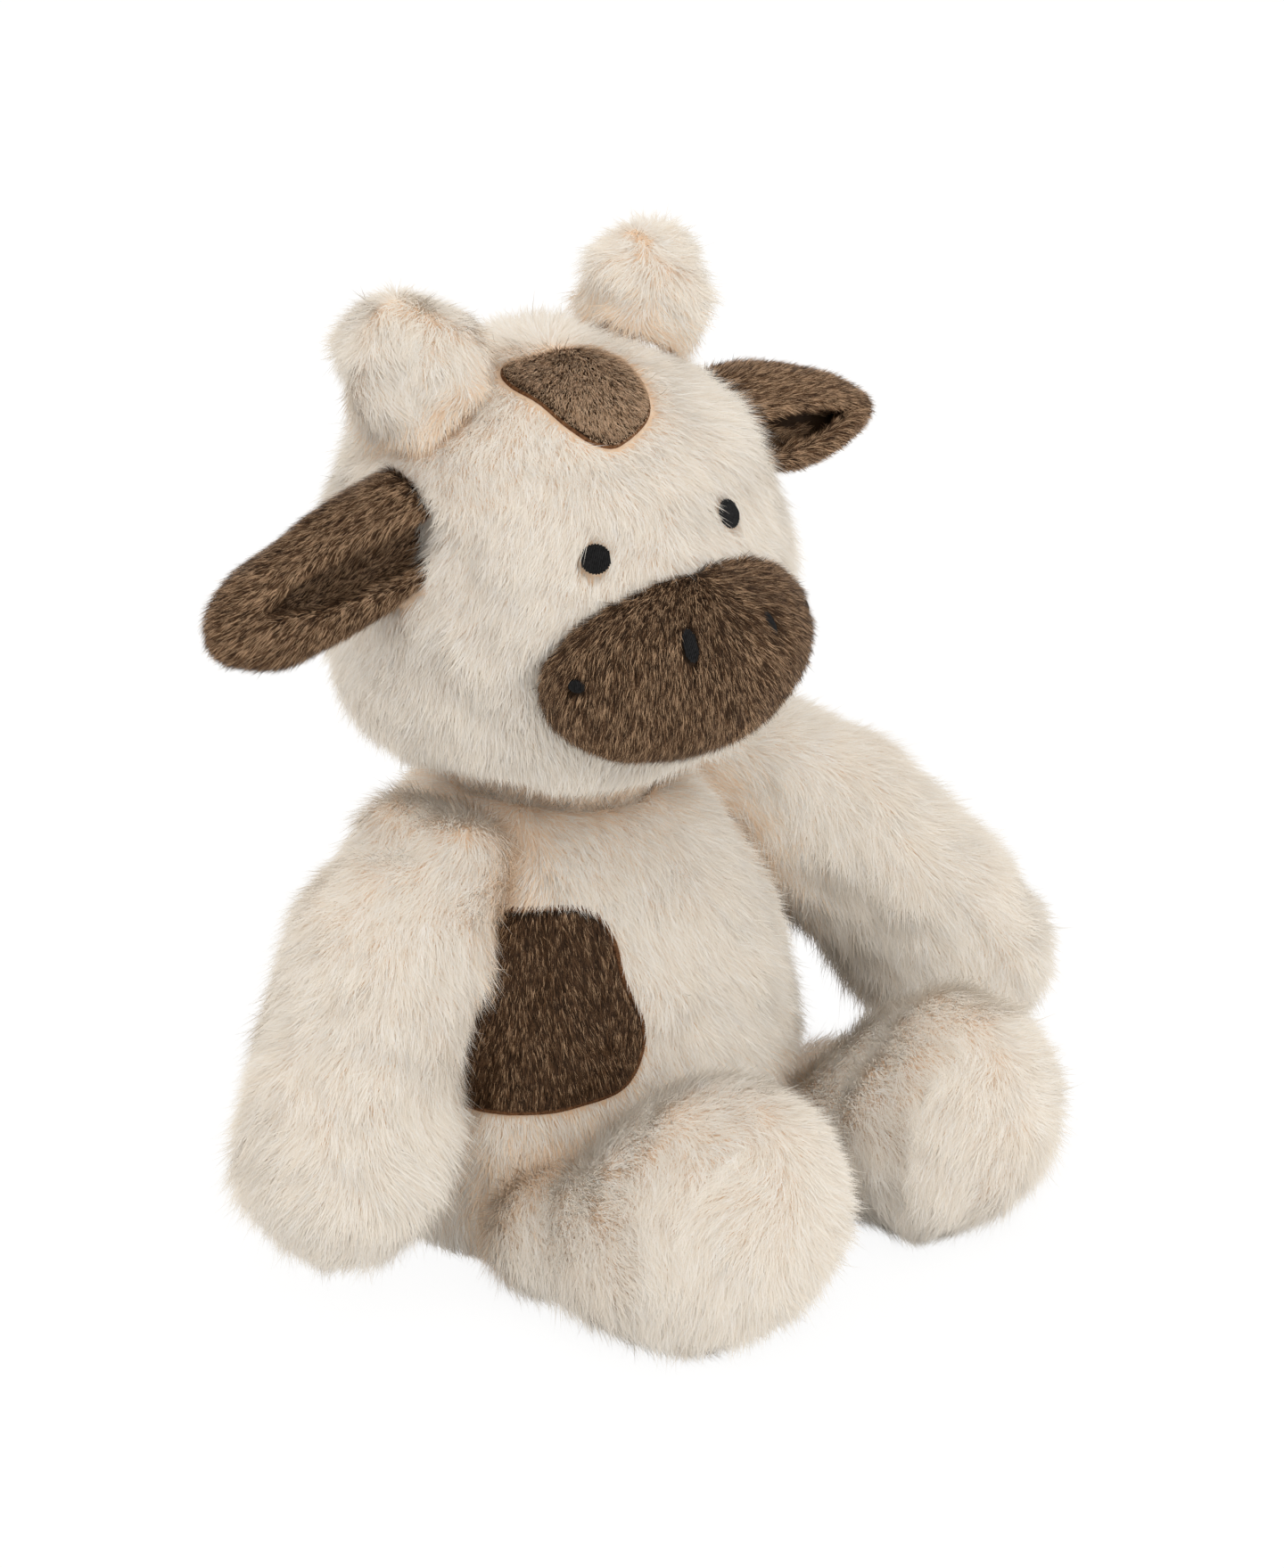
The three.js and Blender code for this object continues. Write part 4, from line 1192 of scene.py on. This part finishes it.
# The brow patch takes more light tones, as painted top light
brown_fur("brow_patch_fur", head, patch_pile, head_comb, [], SEEDS["brow"], patch=brow, mix=PAINTED_LIGHT_MIX)
for side, patch in (("right", right_patch), ("left", left_patch)):
    name = f"side_patch_{side}_fur"
    seed = SEEDS[f"{side}_patch"]
    # The side patches take more dark tones, as painted shade
    brown_fur(name, torso, patch_pile, torso_comb, [*arms.values()], seed, patch=patch, mix=PAINTED_SHADE_MIX)
cord_comb = along_limb(tail_root, middle_of("tail_tuft"))
cream_fur("tail_fur", cord, cord_pile, cord_comb, [torso], SEEDS["cord"])
tuft_comb = spreading(middle_of("tail_cord"), 1, KNOB_SPREAD)
# The tail's tuft takes the brow patch's lighter mix
brown_fur("tail_tuft_fur", tuft, tuft_pile, tuft_comb, [], SEEDS["tuft"], mix=PAINTED_LIGHT_MIX)

# Floor, light and camera

def seen_by_view(nodes, links):
    """1 for what the camera sees, also in a gloss or through glass, and 0 for light on the object"""
    path = nodes.new("ShaderNodeLightPath")
    total = path.outputs["Is Camera Ray"]
    for kind in ("Is Glossy Ray", "Is Transmission Ray"):
        larger = nodes.new("ShaderNodeMath")
        larger.operation = "MAXIMUM"
        links.new(total, larger.inputs[0])
        links.new(path.outputs[kind], larger.inputs[1])
        total = larger.outputs["Value"]
    return total


def shown_white(tree, shader, kind, share, strength):
    """A shader that lights the object as it is, and that the camera sees with a share of white light"""
    nodes, links = tree.nodes, tree.links
    white = nodes.new(kind)
    white.inputs["Color"].default_value = WHITE
    white.inputs["Strength"].default_value = strength
    level = nodes.new("ShaderNodeMath")
    level.operation = "MULTIPLY"
    level.inputs[1].default_value = share
    both = nodes.new("ShaderNodeMixShader")
    links.new(seen_by_view(nodes, links), level.inputs[0])
    links.new(level.outputs["Value"], both.inputs["Fac"])
    links.new(shader.outputs[0], both.inputs[1])
    links.new(white.outputs[0], both.inputs[2])
    return both.outputs["Shader"]


floor_material, floor_shader = shader_of("floor_paper", FLOOR_COLOUR, FLOOR_ROUGHNESS)
floor_tree = floor_material.node_tree
lit_floor = shown_white(floor_tree, floor_shader, "ShaderNodeEmission", FLOOR_GLOW, GLOW_STRENGTH)
floor_tree.links.new(lit_floor, floor_tree.nodes["Material Output"].inputs["Surface"])
bpy.ops.mesh.primitive_plane_add(size=FLOOR_SIZE)
floor = bpy.context.object
floor.name = "floor"
floor.data.materials.append(floor_material)

world = bpy.data.worlds.new("studio")
world.use_nodes = True
world_tree = world.node_tree
room_light = world_tree.nodes["Background"]
room_light.inputs["Color"].default_value = WORLD_COLOUR
room_light.inputs["Strength"].default_value = WORLD_STRENGTH
either_light = shown_white(world_tree, room_light, "ShaderNodeBackground", 1, 1)
world_tree.links.new(either_light, world_tree.nodes["World Output"].inputs["Surface"])
bpy.context.scene.world = world
bpy.context.scene.view_settings.view_transform = "Standard"


def aimed(name, data, azimuth, elevation, distance):
    """A lamp or camera that looks at the toy from an azimuth, which is 0 in front of it, and an elevation"""
    a = math.radians(azimuth)
    e = math.radians(elevation)
    back = Vector((math.sin(a) * math.cos(e), -math.cos(a) * math.cos(e), math.sin(e)))
    made = bpy.data.objects.new(name, data)
    made.location = torso_foot + CAMERA_AIM_OFFSET + back * distance
    made.rotation_euler = (-back).to_track_quat("-Z", "Y").to_euler()
    bpy.context.scene.collection.objects.link(made)
    return made


for name, (azimuth, elevation, size, power, colour) in LAMPS.items():
    light = bpy.data.lights.new(name, "AREA")
    light.shape = "DISK"
    light.size = size
    light.energy = power
    light.color = colour
    aimed(name, light, CAMERA_AZIMUTH + azimuth, elevation, LAMP_DISTANCE)

camera_data = bpy.data.cameras.new("camera")
camera_data.sensor_width = SENSOR
camera_data.lens = LENS
bpy.context.scene.camera = aimed("camera", camera_data, CAMERA_AZIMUTH, CAMERA_ELEVATION, CAMERA_DISTANCE)
